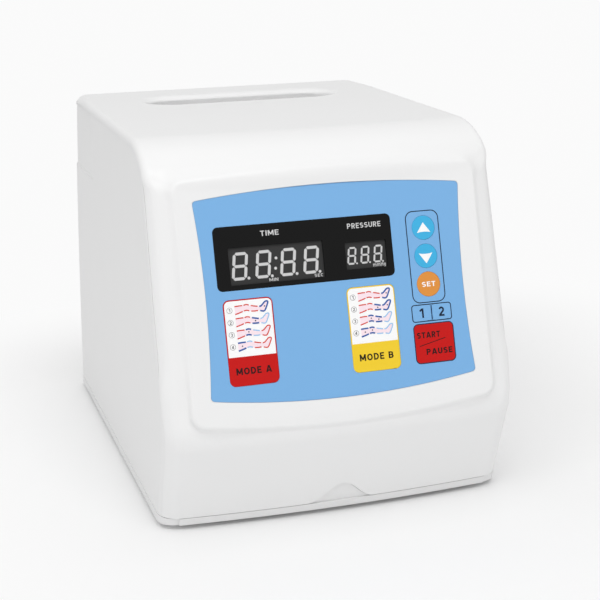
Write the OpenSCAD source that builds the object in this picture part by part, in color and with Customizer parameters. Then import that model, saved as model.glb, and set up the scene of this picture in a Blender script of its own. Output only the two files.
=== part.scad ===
// Table-top compression therapy pump: casing, membrane panel, displays, keys, mains inlet,
// hose ports and the air-moving parts inside. Millimetres, +Z up, front faces -Y.

/* [Casing] */
// Width of the casing at its foot
casing_w = 194; // [190:0.5:196]
// How much narrower each side is at the top
side_draft = 2.7; // [2:0.1:3.5]
// Height of the top above the table
casing_h = 202; // [200:0.5:204]
// Gap that the feet leave under the casing
foot_gap = 3; // [2.5:0.1:4]
// Wall thickness of the mouldings
wall = 2.5; // [2:0.1:3]
// Radius of the edges along the sides of the top
top_edge_r = 4; // [3:0.5:6]
// Radius of the edge between top and rear
rear_top_r = 10; // [6:0.5:12]
// Where the rear wall meets the base
rear_foot_y = 141.7; // [139:0.1:144]
// Lean of the rear wall from vertical, degrees
rear_lean = 6.3; // [5:0.1:7]
// Radius of the upright rear corners
rear_corner_r = 9; // [7:0.5:11]
// Height of the line where base and upper casing part
parting_z = 7.5; // [7:0.1:8]
// How far the cover's edge wraps over the side shell
wrap_depth = 4; // [3.5:0.1:5]
// Step from the cover's side down to the side shell
wrap_step = 0.4; // [0.2:0.1:0.6]
// Open seam between cover and side shell
seam = 0.3; // [0.2:0.05:0.4]

/* [Front] */
// Tilt of the front panel from vertical, degrees
panel_tilt = 15.75; // [15:0.25:17]
// Height of the panel's reference point
panel_z = 99.7; // [98:0.1:101]
// Depth of the panel's reference point
panel_y = -134.4; // [-135:0.1:-134]
// How far the bezel stands in front of the casing's centre line
bezel_rise = 0.6; // [0.4:0.1:1]
// Radius on plan of the whole bowed front
front_bow_r = 902; // [850:10:1000]
// Where the flat top starts to roll down
roll_start_y = -73.3; // [-76:0.1:-70]
// Upper, wider radius of the roll
roll_r = 52; // [50:0.5:54]
// Angle turned by the wider radius, degrees
roll_turn = 32; // [30:0.5:34]
// Undercut of the chin from vertical, degrees
chin_angle = 21.4; // [20:0.2:23]
// Where the chin meets the casing's bottom edge
chin_foot_y = -124.6; // [-126:0.1:-123]
// Radius between panel and chin
chin_r = 25; // [20:1:28]

/* [Panel layout] */
// Half width of the bezel
bezel_half_w = 81.5; // [80:0.5:83]
// Half width of the blue overlay at its corners
overlay_half_w = 71.7; // [70:0.1:73]
// Thickness of the overlay
overlay_t = 0.5; // [0.3:0.1:0.6]
// Depth of the overlay's recess
overlay_recess = 0.6; // [0.5:0.1:0.8]
// Gap round each key
key_gap = 0.25; // [0.2:0.05:0.3]
// Travel of a key
key_travel = 0.4; // [0.3:0.05:0.5]

/* [Grip recess] */
// Length of the recess in the top
grip_w = 126; // [120:1:130]
// Depth of its mouth, front to rear
grip_d = 43; // [40:1:45]
// Centre of its mouth, front to rear
grip_y = 62.2; // [60:0.5:64]
// Depth below the top
grip_depth = 18; // [15:0.5:20]

/* [Rear] */
// Height of the rear panel's centre
rear_z = 62; // [60:0.5:64]
// Width of the rear panel
rear_panel_w = 150; // [146:1:152]
// Height of the rear panel
rear_panel_h = 92; // [88:1:94]
// Thickness of the rear panel
rear_panel_t = 2; // [1.5:0.1:2.5]
// Radius of an air nipple
nipple_r = 3; // [2.5:0.1:3.5]
// Length of an air nipple
nipple_len = 11.5; // [10:0.5:12]
// Distance between air nipples
nipple_pitch = 13; // [12:0.5:14]

/* [Hidden] */
$fn = 48;
half_w = casing_w / 2;
grow = 300;

// ---- panel figures, measured in its own plane: u to the right, v up the slope ----
bezel_top = 88;
bezel_top_bow = 3.5;
bezel_bottom = -36;
bezel_bottom_bow = 6.3;
overlay_top = 77.6;
overlay_top_bow = 4.1;
overlay_bottom = -23.3;
overlay_bottom_bow = 5.6;
overlay_waist = 2.4;
window_u = [-63.3, 32.25];
window_v = [31.15, 63.7];
window_t = 1;
time_size = [50.3, 19.05];
time_at = [-30.95, 43.2];
pressure_size = [22.5, 14];
pressure_at = [17.45, 43.25];
module_t = 8;
segment_t = 0.45;
board_face = -12;
board_t = 1.6;
board_size = [142, 100];
board_at = [0, 23];
board_post_u = 66.5;
board_post_v = [-22, 68];
key_face = -0.05;
flange_w = -3.15;
flange_t = 1;
stem_r = 1.75;
switch_top = -7.1;

// each key: centre u, centre v, width, height, corner radius
up_at = [50.4, 54.6, 12.4, 12.4, 6.2];
down_at = [50.4, 39.7, 12.4, 12.4, 6.2];
setting_at = [50.4, 24.8, 12.8, 12.8, 6.4];
one_at = [45, 9.8, 10.2, 8.2, 1.2];
two_at = [56.2, 9.8, 10.2, 8.2, 1.2];
start_at = [50.7, -6.25, 21.6, 20, 2.2];
mode_a_at = [-48.5, 4.55, 25.8, 43.6, 3];
mode_b_at = [17.7, 4.7, 26, 44, 3];
ALL_KEYS = [up_at, down_at, setting_at, one_at, two_at, start_at, mode_a_at, mode_b_at];

// ---- parts inside ----
floor_z = foot_gap + wall;
foot_x = 80;
foot_front_y = -95;
foot_rear_y = 115;
FEET = [[-foot_x, foot_front_y], [foot_x, foot_front_y], [-foot_x, foot_rear_y], [foot_x, foot_rear_y]];
foot_r = 9;
foot_sink = 0.7;
pump_at = [-42, 20, 46];
pump_wall_y = 36;
diaphragm_r = 26;
diaphragm_t = 1.2;
head_y = pump_wall_y + 4 + diaphragm_t;
head_len = 15;
valve_at = [44, -8];
valve_base_z = 32;
valve_cap_z = 48;
valve_r = 34;
rotor_shaft_r = 3;
OUTLETS = [for (column = [-21, -7, 7, 21], row = [-9, 9]) [column, row]];
spigot_r = 2.5;
spigot_top = valve_cap_z + 4 + 8;
tube_gap = 0.25;
inlet_r = 29;
inlet_y = 5;
CAP_SPIGOTS = concat(OUTLETS, [[-inlet_r, -inlet_y], [-inlet_r, inlet_y]]);
main_board_at = [0, -90, 14];
main_board_size = [146, 44, 1.6];
main_board_holes = [[-68, -108], [68, -108], [-68, -72], [68, -72]];
transformer_at = [50, 76, 8];
port_u = 34;
port_v = 24;
inlet_u = 44;
inlet_v = -16;
inlet_depth = 15;
pin_tip = -5.2;
mouth_size = [24.6, 16.6];
mouth_v = 5.2;
drawer_v = -9;
drawer_size = [23.6, 7.1, 13];
inlet_face = 1.6;
switch_u = -46;
rocker_axis_w = -4.5;
rocker_tilt = 9;
panel_face_w = -1;

// ---- outlines ----

function unit(v) = v / norm(v);

// points of the arc that rounds corner p between its neighbours a and b
function corner_arc(a, p, b, r, steps = 5) =
    let (
        u = unit(a - p),
        v = unit(b - p),
        half = acos(u * v) / 2,
        centre = p + unit(u + v) * r / sin(half),
        from = p + u * r / tan(half) - centre,
        to = p + v * r / tan(half) - centre
    )
    [for (i = [0:steps]) centre + r * unit(from * (1 - i / steps) + to * i / steps)];

// the outline with each corner rounded by its own radius
function soften(outline, radii) =
    let (count = len(outline))
    [for (i = [0:count - 1])
        each radii[i] > 0
            ? corner_arc(outline[(i + count - 1) % count], outline[i], outline[(i + 1) % count], radii[i])
            : [outline[i]]];

// inner points of a shallow bow from a to b, its middle moved by the vector bow
function bowed(a, b, bow, steps = 8) =
    [for (i = [1:steps - 1])
        let (t = i / steps)
        a * (1 - t) + b * t + bow * 4 * t * (1 - t)];

// four-cornered outline with bowed sides, corners rounded by r
function bowed_outline(half, top, top_bow, bottom, bottom_bow, waist, r) =
    let (
        a = [-half, bottom],
        b = [half, bottom],
        c = [half, top],
        d = [-half, top],
        low = bowed(a, b, [0, -bottom_bow]),
        right = bowed(b, c, [-waist, 0]),
        high = bowed(c, d, [0, top_bow]),
        left = bowed(d, a, [waist, 0]),
        flat = [for (p = concat(low, right, high, left)) 0]
    )
    soften(concat([a], low, [b], right, [c], high, [d], left),
        concat([r], [for (p = low) 0], [r], [for (p = right) 0], [r], [for (p = high) 0], [r],
            [for (p = left) 0]));

function bezel_outline(inset) =
    bowed_outline(bezel_half_w - inset, bezel_top - inset, bezel_top_bow, bezel_bottom + inset,
        bezel_bottom_bow, 0, 6 - inset);

function overlay_outline(inset) =
    bowed_outline(overlay_half_w - inset, overlay_top - inset, overlay_top_bow,
        overlay_bottom + inset, overlay_bottom_bow, overlay_waist, 2 - inset);

module rounded_rect(size, r) {
    square([size[0] - 2 * r, size[1]], center = true);
    square([size[0], size[1] - 2 * r], center = true);
    for (x = [-1, 1], y = [-1, 1])
        translate([x * (size[0] / 2 - r), y * (size[1] / 2 - r)])
            circle(r);
}

// ---- frames ----

// u to the right, v up the panel, w out of it, from the bezel's face
module on_panel()
    translate([0, panel_y, panel_z])
        rotate([90 - panel_tilt, 0, 0])
            children();

// u to the right as seen from behind, v up the wall, w out of it
module on_rear(u = 0, v = 0)
    translate([0, rear_y(rear_z), rear_z])
        rotate([0, 0, 180])
            rotate([90 - rear_lean, 0, 0])
                translate([u, v, 0])
                    children();

function rear_y(z) = rear_foot_y - (z - foot_gap) * tan(rear_lean);

// a point of the rear frame in the object's frame
function rear_point(u, v, w) =
    [-u, rear_y(rear_z) - v * sin(rear_lean) + w * cos(rear_lean),
        rear_z + v * cos(rear_lean) + w * sin(rear_lean)];

// a point of the panel frame in the object's frame
function panel_point(u, v, w) =
    [u, panel_y + v * sin(panel_tilt) - w * cos(panel_tilt),
        panel_z + v * cos(panel_tilt) + w * sin(panel_tilt)];

// a side view (y, z) extruded to both sides
module across(w)
    rotate([90, 0, 90])
        linear_extrude(w, center = true)
            children();

// ---- the casing's side view ----

function dir(angle) = [-sin(angle), cos(angle)];
panel_normal = dir(90 - panel_tilt);
chin_normal = dir(90 + chin_angle);
panel_ref = [panel_y, panel_z];
roll_centre = [roll_start_y, casing_h - roll_r];
roll_cos = dir(roll_turn) * panel_normal;
nose_r = (-bezel_rise - (roll_centre - panel_ref) * panel_normal - roll_r * roll_cos) / (1 - roll_cos);
nose_centre = roll_centre + (roll_r - nose_r) * dir(roll_turn);
chin_foot = [chin_foot_y, foot_gap];
panel_reach = panel_ref * panel_normal - bezel_rise - chin_r;
chin_reach = chin_foot * chin_normal - chin_r;
chin_det = panel_normal[0] * chin_normal[1] - panel_normal[1] * chin_normal[0];
chin_centre = [
    (panel_reach * chin_normal[1] - chin_reach * panel_normal[1]) / chin_det,
    (panel_normal[0] * chin_reach - chin_normal[0] * panel_reach) / chin_det
];

function arc(centre, r, from, to, steps) =
    [for (i = [0:steps]) centre + r * dir(from + (to - from) * i / steps)];

function chin_y(z, inset) =
    chin_foot_y + (inset - (z - foot_gap) * sin(chin_angle)) / cos(chin_angle);

// front line of the casing from the flat top down to height low, moved in by inset
function front_line(inset, low) = concat(
    arc(roll_centre, roll_r - inset, 0, roll_turn, 5),
    arc(nose_centre, nose_r - inset, roll_turn, 90 - panel_tilt, 6),
    arc(chin_centre, chin_r - inset, 90 - panel_tilt, 90 + chin_angle, 6),
    [[chin_y(low, inset), low]]
);

function half_at(z) = half_w - side_draft * pow((z - foot_gap) / (casing_h - foot_gap), 2);

// ---- solid forms that make up the casing ----

bow_axis_y = chin_foot_y + front_bow_r;

module bowed_front(inset, low)
    translate([0, bow_axis_y, 0])
        rotate([0, 0, -102])
            rotate_extrude(angle = 24, $fn = 360)
                polygon([for (p = concat([[grow, low], [grow, casing_h - inset]], front_line(inset, low)))
                    [bow_axis_y - p[0], p[1]]]);

module side_view_block(inset, low)
    across(2 * grow)
        polygon(concat(
            [[-grow, low], [-grow, casing_h - inset]],
            corner_arc([-grow, casing_h - inset],
                [rear_y(casing_h - inset) - inset / cos(rear_lean), casing_h - inset],
                [rear_y(low) - inset / cos(rear_lean), low], rear_top_r - inset),
            [[rear_y(low) - inset / cos(rear_lean), low]]
        ));

module front_view_block(inset, low) {
    heights = [for (i = [0:5]) low + (casing_h - inset - low) * i / 5];
    right = [for (z = heights) [half_at(z) - inset, z]];
    left = [for (i = [5:-1:0]) [inset - half_at(heights[i]), heights[i]]];
    edge = top_edge_r - min(inset, 2);
    rotate([90, 0, 0])
        linear_extrude(2 * grow, center = true)
            polygon(soften(concat(right, left), [0, 0, 0, 0, 0, edge, edge, 0, 0, 0, 0, 0]));
}

// long prism whose two front edges are rounded, lying along a sloping wall
module edge_prism(half, face, r)
    rotate([90, 0, 0])
        linear_extrude(2 * grow, center = true) {
            translate([r - half, -2 * grow])
                square([2 * (half - r), 2 * grow + 40]);
            translate([-half, -2 * grow])
                square([2 * half, 2 * grow + face - r]);
            for (side = [-1, 1])
                translate([side * (half - r), face - r])
                    circle(r);
        }

cheek_set_back = bezel_rise + 5.2;

module casing_form(inset, low = foot_gap)
    intersection() {
        bowed_front(inset, low);
        side_view_block(inset, low);
        front_view_block(inset, low);
        on_panel()
            edge_prism(half_w - inset, -cheek_set_back - inset, 7 - inset);
        translate([0, chin_foot_y, foot_gap])
            rotate([90 + chin_angle, 0, 0])
                edge_prism(half_w - inset, -4.9 - inset, 10 - inset);
        on_rear()
            edge_prism(half_w - inset, -inset, rear_corner_r - inset);
    }

// the part of space that belongs to the side shell: behind the wrapped edge of the cover
module shell_zone(extra)
    translate([0, 4.9, 0])
        across(2 * grow)
            polygon(concat([[grow, -10], [grow, casing_h - wrap_depth - extra]],
                front_line(wrap_depth + extra, -10)));

module above(z)
    translate([-grow, -grow, z])
        cube([2 * grow, 2 * grow, grow]);

module below(z)
    translate([-grow, -grow, z - grow])
        cube([2 * grow, 2 * grow, grow]);

// ---- casing mouldings ----

grip_floor = casing_h - grip_depth;

// pocket in the top: sloping rear, deep front that runs on under the lip
module grip_pocket(skin) {
    front = grip_y - grip_d / 2;
    rear = grip_y + grip_d / 2;
    intersection() {
        translate([1, grip_y, grip_floor - skin])
            linear_extrude(60)
                rounded_rect([grip_w + 2 * skin, grip_d + 2 * skin], grip_d / 2 + skin - 0.5);
        across(2 * grow)
            polygon([[rear + skin, casing_h + 30], [rear + skin, casing_h - 3 - skin],
                [rear - 6 + skin, casing_h - 9 - skin], [rear - 18 + skin, grip_floor + 1 - skin],
                [rear - 24, grip_floor - skin], [front - 30, grip_floor - skin],
                [front - 30, casing_h + 30]]);
    }
    translate([1 - grip_w / 2 + 14 - skin, front - 8 - skin, grip_floor - skin])
        cube([grip_w - 28 + 2 * skin, 16 + skin, grip_depth - wall - 1 + skin]);
}

scoop_r = 32;
scoop_out = scoop_r - 5.2;

// ball that presses the thumb scoop into the foot of the chin
module scoop_ball(r)
    translate([0, chin_foot_y - scoop_out * cos(chin_angle) + 1.6, -1 - scoop_out * sin(chin_angle) + 1])
        sphere(r, $fn = 96);

module bezel_pad()
    on_panel()
        translate([0, 0, -8])
            linear_extrude(8)
                polygon(bezel_outline(0));

module panel_pocket()
    on_panel()
        translate([0, 0, -20])
            linear_extrude(17)
                polygon(bezel_outline(2.5));

// a key's outline, round where its corner radius is half its width
module key_shape(key, grow_u = 0, grow_v = 0)
    translate([key[0], key[1]])
        if (2 * key[4] >= key[2])
            circle(key[4] + grow_u);
        else
            rounded_rect([key[2] + 2 * grow_u, key[3] + 2 * grow_v], key[4] + min(grow_u, grow_v));

module key_holes(low, high)
    for (key = ALL_KEYS)
        translate([0, 0, low])
            linear_extrude(high - low)
                key_shape(key, key_gap, key_gap);

window_size = [window_u[1] - window_u[0], window_v[1] - window_v[0]];
window_at = [(window_u[0] + window_u[1]) / 2, (window_v[0] + window_v[1]) / 2];

module window_shape(gap)
    translate(window_at)
        rounded_rect(window_size + [2 * gap, 2 * gap], 2.7 + gap);

module panel_openings()
    on_panel() {
        translate([0, 0, -overlay_recess])
            linear_extrude(5)
                polygon(overlay_outline(-0.15));
        translate([0, 0, -window_t - 0.1])
            linear_extrude(3)
                window_shape(0.1);
        translate([-57, 33, -8])
            cube([87, 20.5, 9]);
        key_holes(-9, 1);
    }

module board_posts()
    on_panel()
        for (u = [-board_post_u, board_post_u], v = board_post_v)
            translate([u, v, board_face + 0.02])
                difference() {
                    cylinder(h = -2.98 - board_face, r = 3.2);
                    translate([0, 0, -1])
                        cylinder(h = 7.2, r = 1.25);
                }

module snap_tabs()
    for (side = [-1, 1], y = [-40, 20, 80])
        translate([side * 89 - 1, y - 6, casing_h - 20])
            cube([2, 12, 19]);

module front_cover()
    color("white") {
        difference() {
            union() {
                difference() {
                    casing_form(0);
                    casing_form(wall, 0);
                    shell_zone(0);
                }
                intersection() {
                    casing_form(1);
                    union() {
                        scoop_ball(scoop_r + 2.2);
                        grip_pocket(2.2);
                    }
                }
                bezel_pad();
            }
            below(parting_z);
            panel_pocket();
            panel_openings();
            grip_pocket(0);
            scoop_ball(scoop_r);
        }
        board_posts();
        snap_tabs();
    }

// opening in the rear wall and the frame behind it that carries the rear panel
module rear_frame()
    on_rear()
        translate([0, 0, panel_face_w - rear_panel_t - 3])
            linear_extrude(3)
                difference() {
                    rounded_rect([rear_panel_w + 6, rear_panel_h + 6], 5);
                    rounded_rect([rear_panel_w - 12, rear_panel_h - 12], 3);
                    rear_screw_spots()
                        circle(1.45);
                }

module rear_screw_spots()
    for (u = [-1, 1], v = [-1, 1])
        translate([u * (rear_panel_w / 2 - 4), v * (rear_panel_h / 2 - 4)])
            children();

module rear_cut()
    on_rear()
        translate([0, 0, panel_face_w - rear_panel_t])
            linear_extrude(10)
                rounded_rect([rear_panel_w + 0.6, rear_panel_h + 0.6], 4.3);

module shell_posts()
    for (p = FEET) {
        translate([p[0], p[1], floor_z + 4.6])
            difference() {
                cylinder(h = 30, r = 4.5);
                translate([0, 0, -1])
                    cylinder(h = 17, r = 1.55);
            }
        translate([p[0] + (p[0] > 0 ? 4 : -13.4), p[1] - 1.25, floor_z + 8])
            cube([9.4, 2.5, 26]);
    }

module rear_relief(extra)
    translate([-grow, 52.7, 157.4 - extra])
        cube([2 * grow, grow, 100]);

module upper_vents()
    for (row = [0:2], i = [-9:9])
        translate([i * 6 - 1.25, 60, 122 + row * 17])
            cube([2.5, 100, 12]);

module body_shell()
    color("white") {
        difference() {
            intersection() {
                union() {
                    difference() {
                        casing_form(wrap_step);
                        rear_relief(0);
                    }
                    intersection() {
                        casing_form(wrap_step + 0.7);
                        rear_relief(0.1);
                    }
                    on_rear()
                        translate([0, 0, -6])
                            linear_extrude(5)
                                rounded_rect([rear_panel_w + 6, rear_panel_h + 6], 5);
                }
                shell_zone(seam);
                above(parting_z);
            }
            difference() {
                casing_form(wall + wrap_step, 0);
                on_rear()
                    translate([-rear_panel_w / 2 - 3, -rear_panel_h / 2 - 3, -6])
                        cube([rear_panel_w + 6, rear_panel_h + 6, 8]);
            }
            rear_cut();
            on_rear()
                translate([0, 0, -20])
                    linear_extrude(30)
                        rounded_rect([rear_panel_w - 12, rear_panel_h - 12], 3);
            on_rear()
                translate([0, 0, -20])
                    linear_extrude(30)
                        rear_screw_spots()
                            circle(1.45);
            upper_vents();
        }
        shell_posts();
    }

// ---- base ----

module floor_slots()
    for (x = [-60, 60], i = [-6:6])
        translate([x - 20, i * 6 - 1.25 + (x < 0 ? 20 : 8), 0])
            cube([40, 2.5, 20]);

module base_cover()
    color("gainsboro")
        difference() {
            union() {
                intersection() {
                    casing_form(0.1);
                    below(floor_z);
                }
                difference() {
                    casing_form(0.1);
                    casing_form(wall, 0);
                    above(parting_z - 0.1);
                }
                difference() {
                    casing_form(wall + wrap_step + 0.2, foot_gap + 0.5);
                    casing_form(wall + wrap_step + 2.2, 0);
                    above(parting_z + 4);
                    translate([-26, -grow, parting_z - 0.1])
                        cube([52, grow, 20]);
                    translate([-rear_panel_w / 2 - 4, 100, parting_z - 0.1])
                        cube([rear_panel_w + 8, 80, 20]);
                    for (p = FEET)
                        translate([p[0] + (p[0] > 0 ? 0 : -20), p[1] - 3, parting_z])
                            cube([20, 6, 20]);
                }
                for (p = FEET)
                    translate([p[0], p[1], floor_z])
                        cylinder(h = 4.5, r = 6);
                for (p = main_board_holes)
                    translate([p[0], p[1], floor_z - 1])
                        cylinder(h = main_board_at[2] - floor_z + 1, r = 3.2);
            }
            for (p = FEET)
                translate([p[0], p[1], 0]) {
                    cylinder(h = foot_gap + foot_sink, r = foot_r + 0.3);
                    cylinder(h = floor_z + 2.5, r = 3.4);
                    cylinder(h = 30, r = 1.7);
                }
            for (p = main_board_holes)
                translate([p[0], p[1], floor_z + 0.5])
                    cylinder(h = 30, r = 1.25);
            floor_slots();
        }

module foot(x, y)
    color("dimgray")
        translate([x, y, 0])
            cylinder(h = foot_gap + foot_sink, r1 = foot_r - 0.8, r2 = foot_r);

module front_left_foot() foot(FEET[0][0], FEET[0][1]);
module front_right_foot() foot(FEET[1][0], FEET[1][1]);
module rear_left_foot() foot(FEET[2][0], FEET[2][1]);
module rear_right_foot() foot(FEET[3][0], FEET[3][1]);

module screw(head_r, head_h, shank_r, shank_h)
    union() {
        difference() {
            translate([0, 0, -head_h])
                cylinder(h = head_h, r = head_r);
            for (turn = [0, 90])
                rotate(turn)
                    translate([-head_r * 0.6, -0.35, -head_h - 1])
                        cube([head_r * 1.2, 0.7, 1 + head_h * 0.45]);
        }
        cylinder(h = shank_h, r = shank_r);
    }

module casing_screws()
    color("silver")
        for (p = FEET)
            translate([p[0], p[1], floor_z + 2.5])
                screw(3.1, 2.2, 1.5, 16);

// ---- control panel ----

module control_overlay()
    color([0.5, 0.7, 0.89])
        on_panel()
            translate([0, 0, -overlay_recess])
                linear_extrude(overlay_t)
                    difference() {
                        polygon(overlay_outline(0));
                        window_shape(0.1);
                        for (key = ALL_KEYS)
                            key_shape(key, key_gap, key_gap);
                    }

module display_window()
    color([0.09, 0.09, 0.09])
        on_panel()
            translate([0, 0, -window_t - 0.1])
                linear_extrude(window_t)
                    window_shape(0);

// one bar of a seven-segment digit, lying along u
module bar(length, width)
    polygon([[-length / 2, 0], [-length / 2 + width / 2, width / 2], [length / 2 - width / 2, width / 2],
        [length / 2, 0], [length / 2 - width / 2, -width / 2], [-length / 2 + width / 2, -width / 2]]);

digit_slant = 8;

// seven bars and a decimal dot, leaning to the right
module digit(height, width, stroke) {
    side = (height - stroke) / 2;
    across_bar = width - stroke;
    for (row = [-1:1])
        translate([row * side * tan(digit_slant), row * side])
            bar(across_bar - 0.3, stroke);
    for (column = [-1, 1], row = [-1, 1])
        translate([column * across_bar / 2 + row * side / 2 * tan(digit_slant), row * side / 2])
            rotate(90 - digit_slant)
                bar(side - 0.3, stroke);
    translate([width / 2 + stroke * 0.75 - height / 2 * tan(digit_slant), -side])
        circle(stroke / 2);
}

module time_digits() {
    for (i = [0:3])
        translate([(i - 1.5) * 12.4 + (i < 2 ? -0.4 : 0.4) - 0.4, 0])
            digit(14.2, 8, 1.5);
    for (v = [-2.6, 2.6])
        translate([v * tan(digit_slant) - 0.4, v])
            circle(0.75);
}

module pressure_digits()
    for (i = [-1:1])
        translate([i * 7.2 - 0.4, 0])
            digit(9.1, 4.7, 0.95);

module segments_at(at, depth)
    on_panel()
        translate([at[0], at[1], -window_t - 0.1 - depth - 0.02])
            linear_extrude(depth)
                children();

module display_module(at, size, pins)
    on_panel()
        translate([at[0], at[1], 0]) {
            translate([0, 0, -window_t - 0.15 - module_t])
                linear_extrude(module_t)
                    square(size, center = true);
            for (i = [0:pins - 1], v = [-1, 1])
                translate([(i - (pins - 1) / 2) * 2.54 - 0.3, v * (size[1] / 2 - 2) - 0.3, board_face])
                    cube([0.6, 0.6, -board_face - window_t - module_t]);
        }

module time_display()
    color([0.26, 0.26, 0.26])
        difference() {
            display_module(time_at, time_size, 6);
            segments_at(time_at, segment_t)
                time_digits();
        }

module time_segments()
    color([0.85, 0.85, 0.85])
        segments_at(time_at, segment_t)
            time_digits();

module pressure_display()
    color([0.26, 0.26, 0.26])
        difference() {
            display_module(pressure_at, pressure_size, 6);
            segments_at(pressure_at, segment_t)
                pressure_digits();
        }

module pressure_segments()
    color([0.85, 0.85, 0.85])
        segments_at(pressure_at, segment_t)
            pressure_digits();

module display_board()
    color("darkgreen")
        on_panel() {
            translate([board_at[0], board_at[1], board_face - board_t])
                linear_extrude(board_t)
                    difference() {
                        rounded_rect(board_size, 2);
                        translate([-board_at[0], -board_at[1]])
                            for (u = [-board_post_u, board_post_u], v = board_post_v)
                                translate([u, v])
                                    circle(1.6);
                    }
            translate([-11, -21, board_face - board_t - 8])
                cube([22, 6, 8.1]);
        }

module display_board_screws()
    color("silver")
        on_panel()
            for (u = [-board_post_u, board_post_u], v = board_post_v)
                translate([u, v, board_face - board_t])
                    screw(2.6, 1.6, 1.2, 6.5);

module key_switches()
    color("black")
        on_panel()
            for (key = ALL_KEYS)
                translate([key[0], key[1], board_face]) {
                    translate([-3, -3, 0])
                        cube([6, 6, 3.5]);
                    cylinder(h = switch_top - board_face, r = stem_r);
                }

// printed cap, retaining flange behind the panel, stem that meets the switch
module key_cap(key, flange_u = 0.9)
    on_panel() {
        translate([0, 0, flange_w - 0.1])
            linear_extrude(key_face - flange_w + 0.1)
                key_shape(key);
        translate([0, 0, flange_w - flange_t])
            linear_extrude(flange_t)
                key_shape(key, flange_u, 0.9);
        translate([key[0], key[1], switch_top + key_travel + 0.05])
            cylinder(h = flange_w - flange_t - switch_top - key_travel, r = stem_r);
    }

module up_key() color([0.27, 0.7, 0.89]) key_cap(up_at);
module down_key() color([0.27, 0.7, 0.89]) key_cap(down_at);
module setting_key() color([0.87, 0.57, 0.26]) key_cap(setting_at);
module one_sleeve_key() color([0.5, 0.7, 0.89]) key_cap(one_at, 0);
module two_sleeve_key() color([0.5, 0.7, 0.89]) key_cap(two_at, 0);
module start_pause_key() color([0.78, 0.14, 0.14]) key_cap(start_at);
module mode_a_key() color([0.78, 0.14, 0.14]) key_cap(mode_a_at);
module mode_b_key() color([0.94, 0.8, 0.2]) key_cap(mode_b_at);

// ---- tubes and leads ----

function blend_path(a, b, c, d, steps) =
    [for (i = [0:steps])
        let (t = i / steps)
        a * pow(1 - t, 3) + 3 * b * t * pow(1 - t, 2) + 3 * c * t * t * (1 - t) + d * pow(t, 3)];

// a bar of constant section swept along a path; the section's first axis stays near +X
module swept(path, section) {
    rings = len(path);
    sides = len(section);
    tangents = [for (i = [0:rings - 1])
        unit(path[min(i + 1, rings - 1)] - path[max(i - 1, 0)])];
    points = [for (i = [0:rings - 1])
        let (
            side = unit([1, 0, 0] - tangents[i][0] * tangents[i]),
            over = cross(tangents[i], side)
        )
        for (s = section) path[i] + s[0] * side + s[1] * over];
    walls = [for (i = [0:rings - 2], k = [0:sides - 1])
        let (a = i * sides + k, b = i * sides + (k + 1) % sides)
        each [[b, a, a + sides], [b, a + sides, b + sides]]];
    near_end = [for (k = [1:sides - 2]) [0, k, k + 1]];
    far_end = [for (k = [1:sides - 2]) (rings - 1) * sides * [1, 1, 1] + [k + 1, k, 0]];
    polyhedron(points, concat(walls, near_end, far_end));
}

module tube(a, b, c, d, r, steps = 16)
    swept(blend_path(a, b, c, d, steps), [for (k = [0:7]) r * [cos(k * 45), sin(k * 45)]]);

module ribbon_cable()
    color("lightgray")
        swept(blend_path(panel_point(0, -18, -21.6), panel_point(0, -18, -50), [0, -88, 60],
            [0, -88, main_board_at[2] + 12], 16), [[-9, -0.6], [9, -0.6], [9, 0.6], [-9, 0.6]]);

function outlet_point(i) = [valve_at[0] + OUTLETS[i][0], valve_at[1] + OUTLETS[i][1], spigot_top + tube_gap];

// nipples from the object's left to its right
function port_point(i, w) =
    rear_point(i < 4 ? port_u - (i - 1.5) * nipple_pitch : -port_u - (i - 5.5) * nipple_pitch, port_v, w);

module outlet_tubes()
    color("whitesmoke")
        for (i = [0:7])
            let (
                from = outlet_point(i),
                over = i % 2 == 0 ? 70 : 0,
                rise = 65 - 8 * abs(3.5 - i) + over,
                reach = i % 2 == 0 ? 55 : 35
            )
            tube(from, from + [0, 0, rise], port_point(i, -14 - reach), port_point(i, -14 - tube_gap), 3);

module supply_tubes()
    color("whitesmoke")
        for (side = [-1, 1])
            let (
                from = [pump_at[0], pump_at[1] + side * (head_y + 8), pump_at[2] + diaphragm_r + 10.8],
                to = [valve_at[0] - inlet_r, valve_at[1] + side * inlet_y, spigot_top + 0.8]
            )
            tube(from, from + [0, 0, 12], to + [0, 0, 8], to, 3);

module mains_leads()
    color("brown")
        for (i = [-1:1])
            let (from = rear_point(inlet_u + i * 7, inlet_v + mouth_v + (i == 0 ? 2 : -2), -31))
            tube(from, from - [0, 9, -10], [5 - i * 6, 112, 66], [transformer_at[0] - 6 - i * 6, 92, 50],
                1.3, 12);

// ---- boards and mains parts ----

module main_board()
    color("darkgreen")
        difference() {
            translate(main_board_at - [main_board_size[0] / 2, main_board_size[1] / 2, 0])
                cube(main_board_size);
            for (p = main_board_holes)
                translate([p[0], p[1], 0])
                    cylinder(h = 40, r = 1.6);
        }

board_top = main_board_at[2] + main_board_size[2];

module main_board_parts()
    color("black")
        translate([0, main_board_at[1], board_top]) {
            translate([-11, -1, 0])
                cube([22, 6, 10.4]);
            for (x = [-54, -41])
                translate([x, 8, 0])
                    cylinder(h = 20, r = 5);
            for (i = [0:3])
                translate([22 + i * 11, -16, 0])
                    cube([9, 18, 14]);
            translate([-40, -18, 0])
                cube([20, 14, 3]);
            translate([-60, -18, 0])
                cube([16, 3, 22]);
            for (x = [16, 33])
                translate([x, 8, 0])
                    cube([14, 8, 9]);
        }

module main_board_screws()
    color("silver")
        for (p = main_board_holes)
            translate([p[0], p[1], board_top])
                rotate([180, 0, 0])
                    screw(2.6, 1.6, 1.2, 8);

module pressure_sensor()
    color("white")
        translate([56, main_board_at[1] + 12, board_top]) {
            translate([-5, -5, 0])
                cube([10, 10, 6]);
            cylinder(h = 12, r = 1.6);
        }

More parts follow.
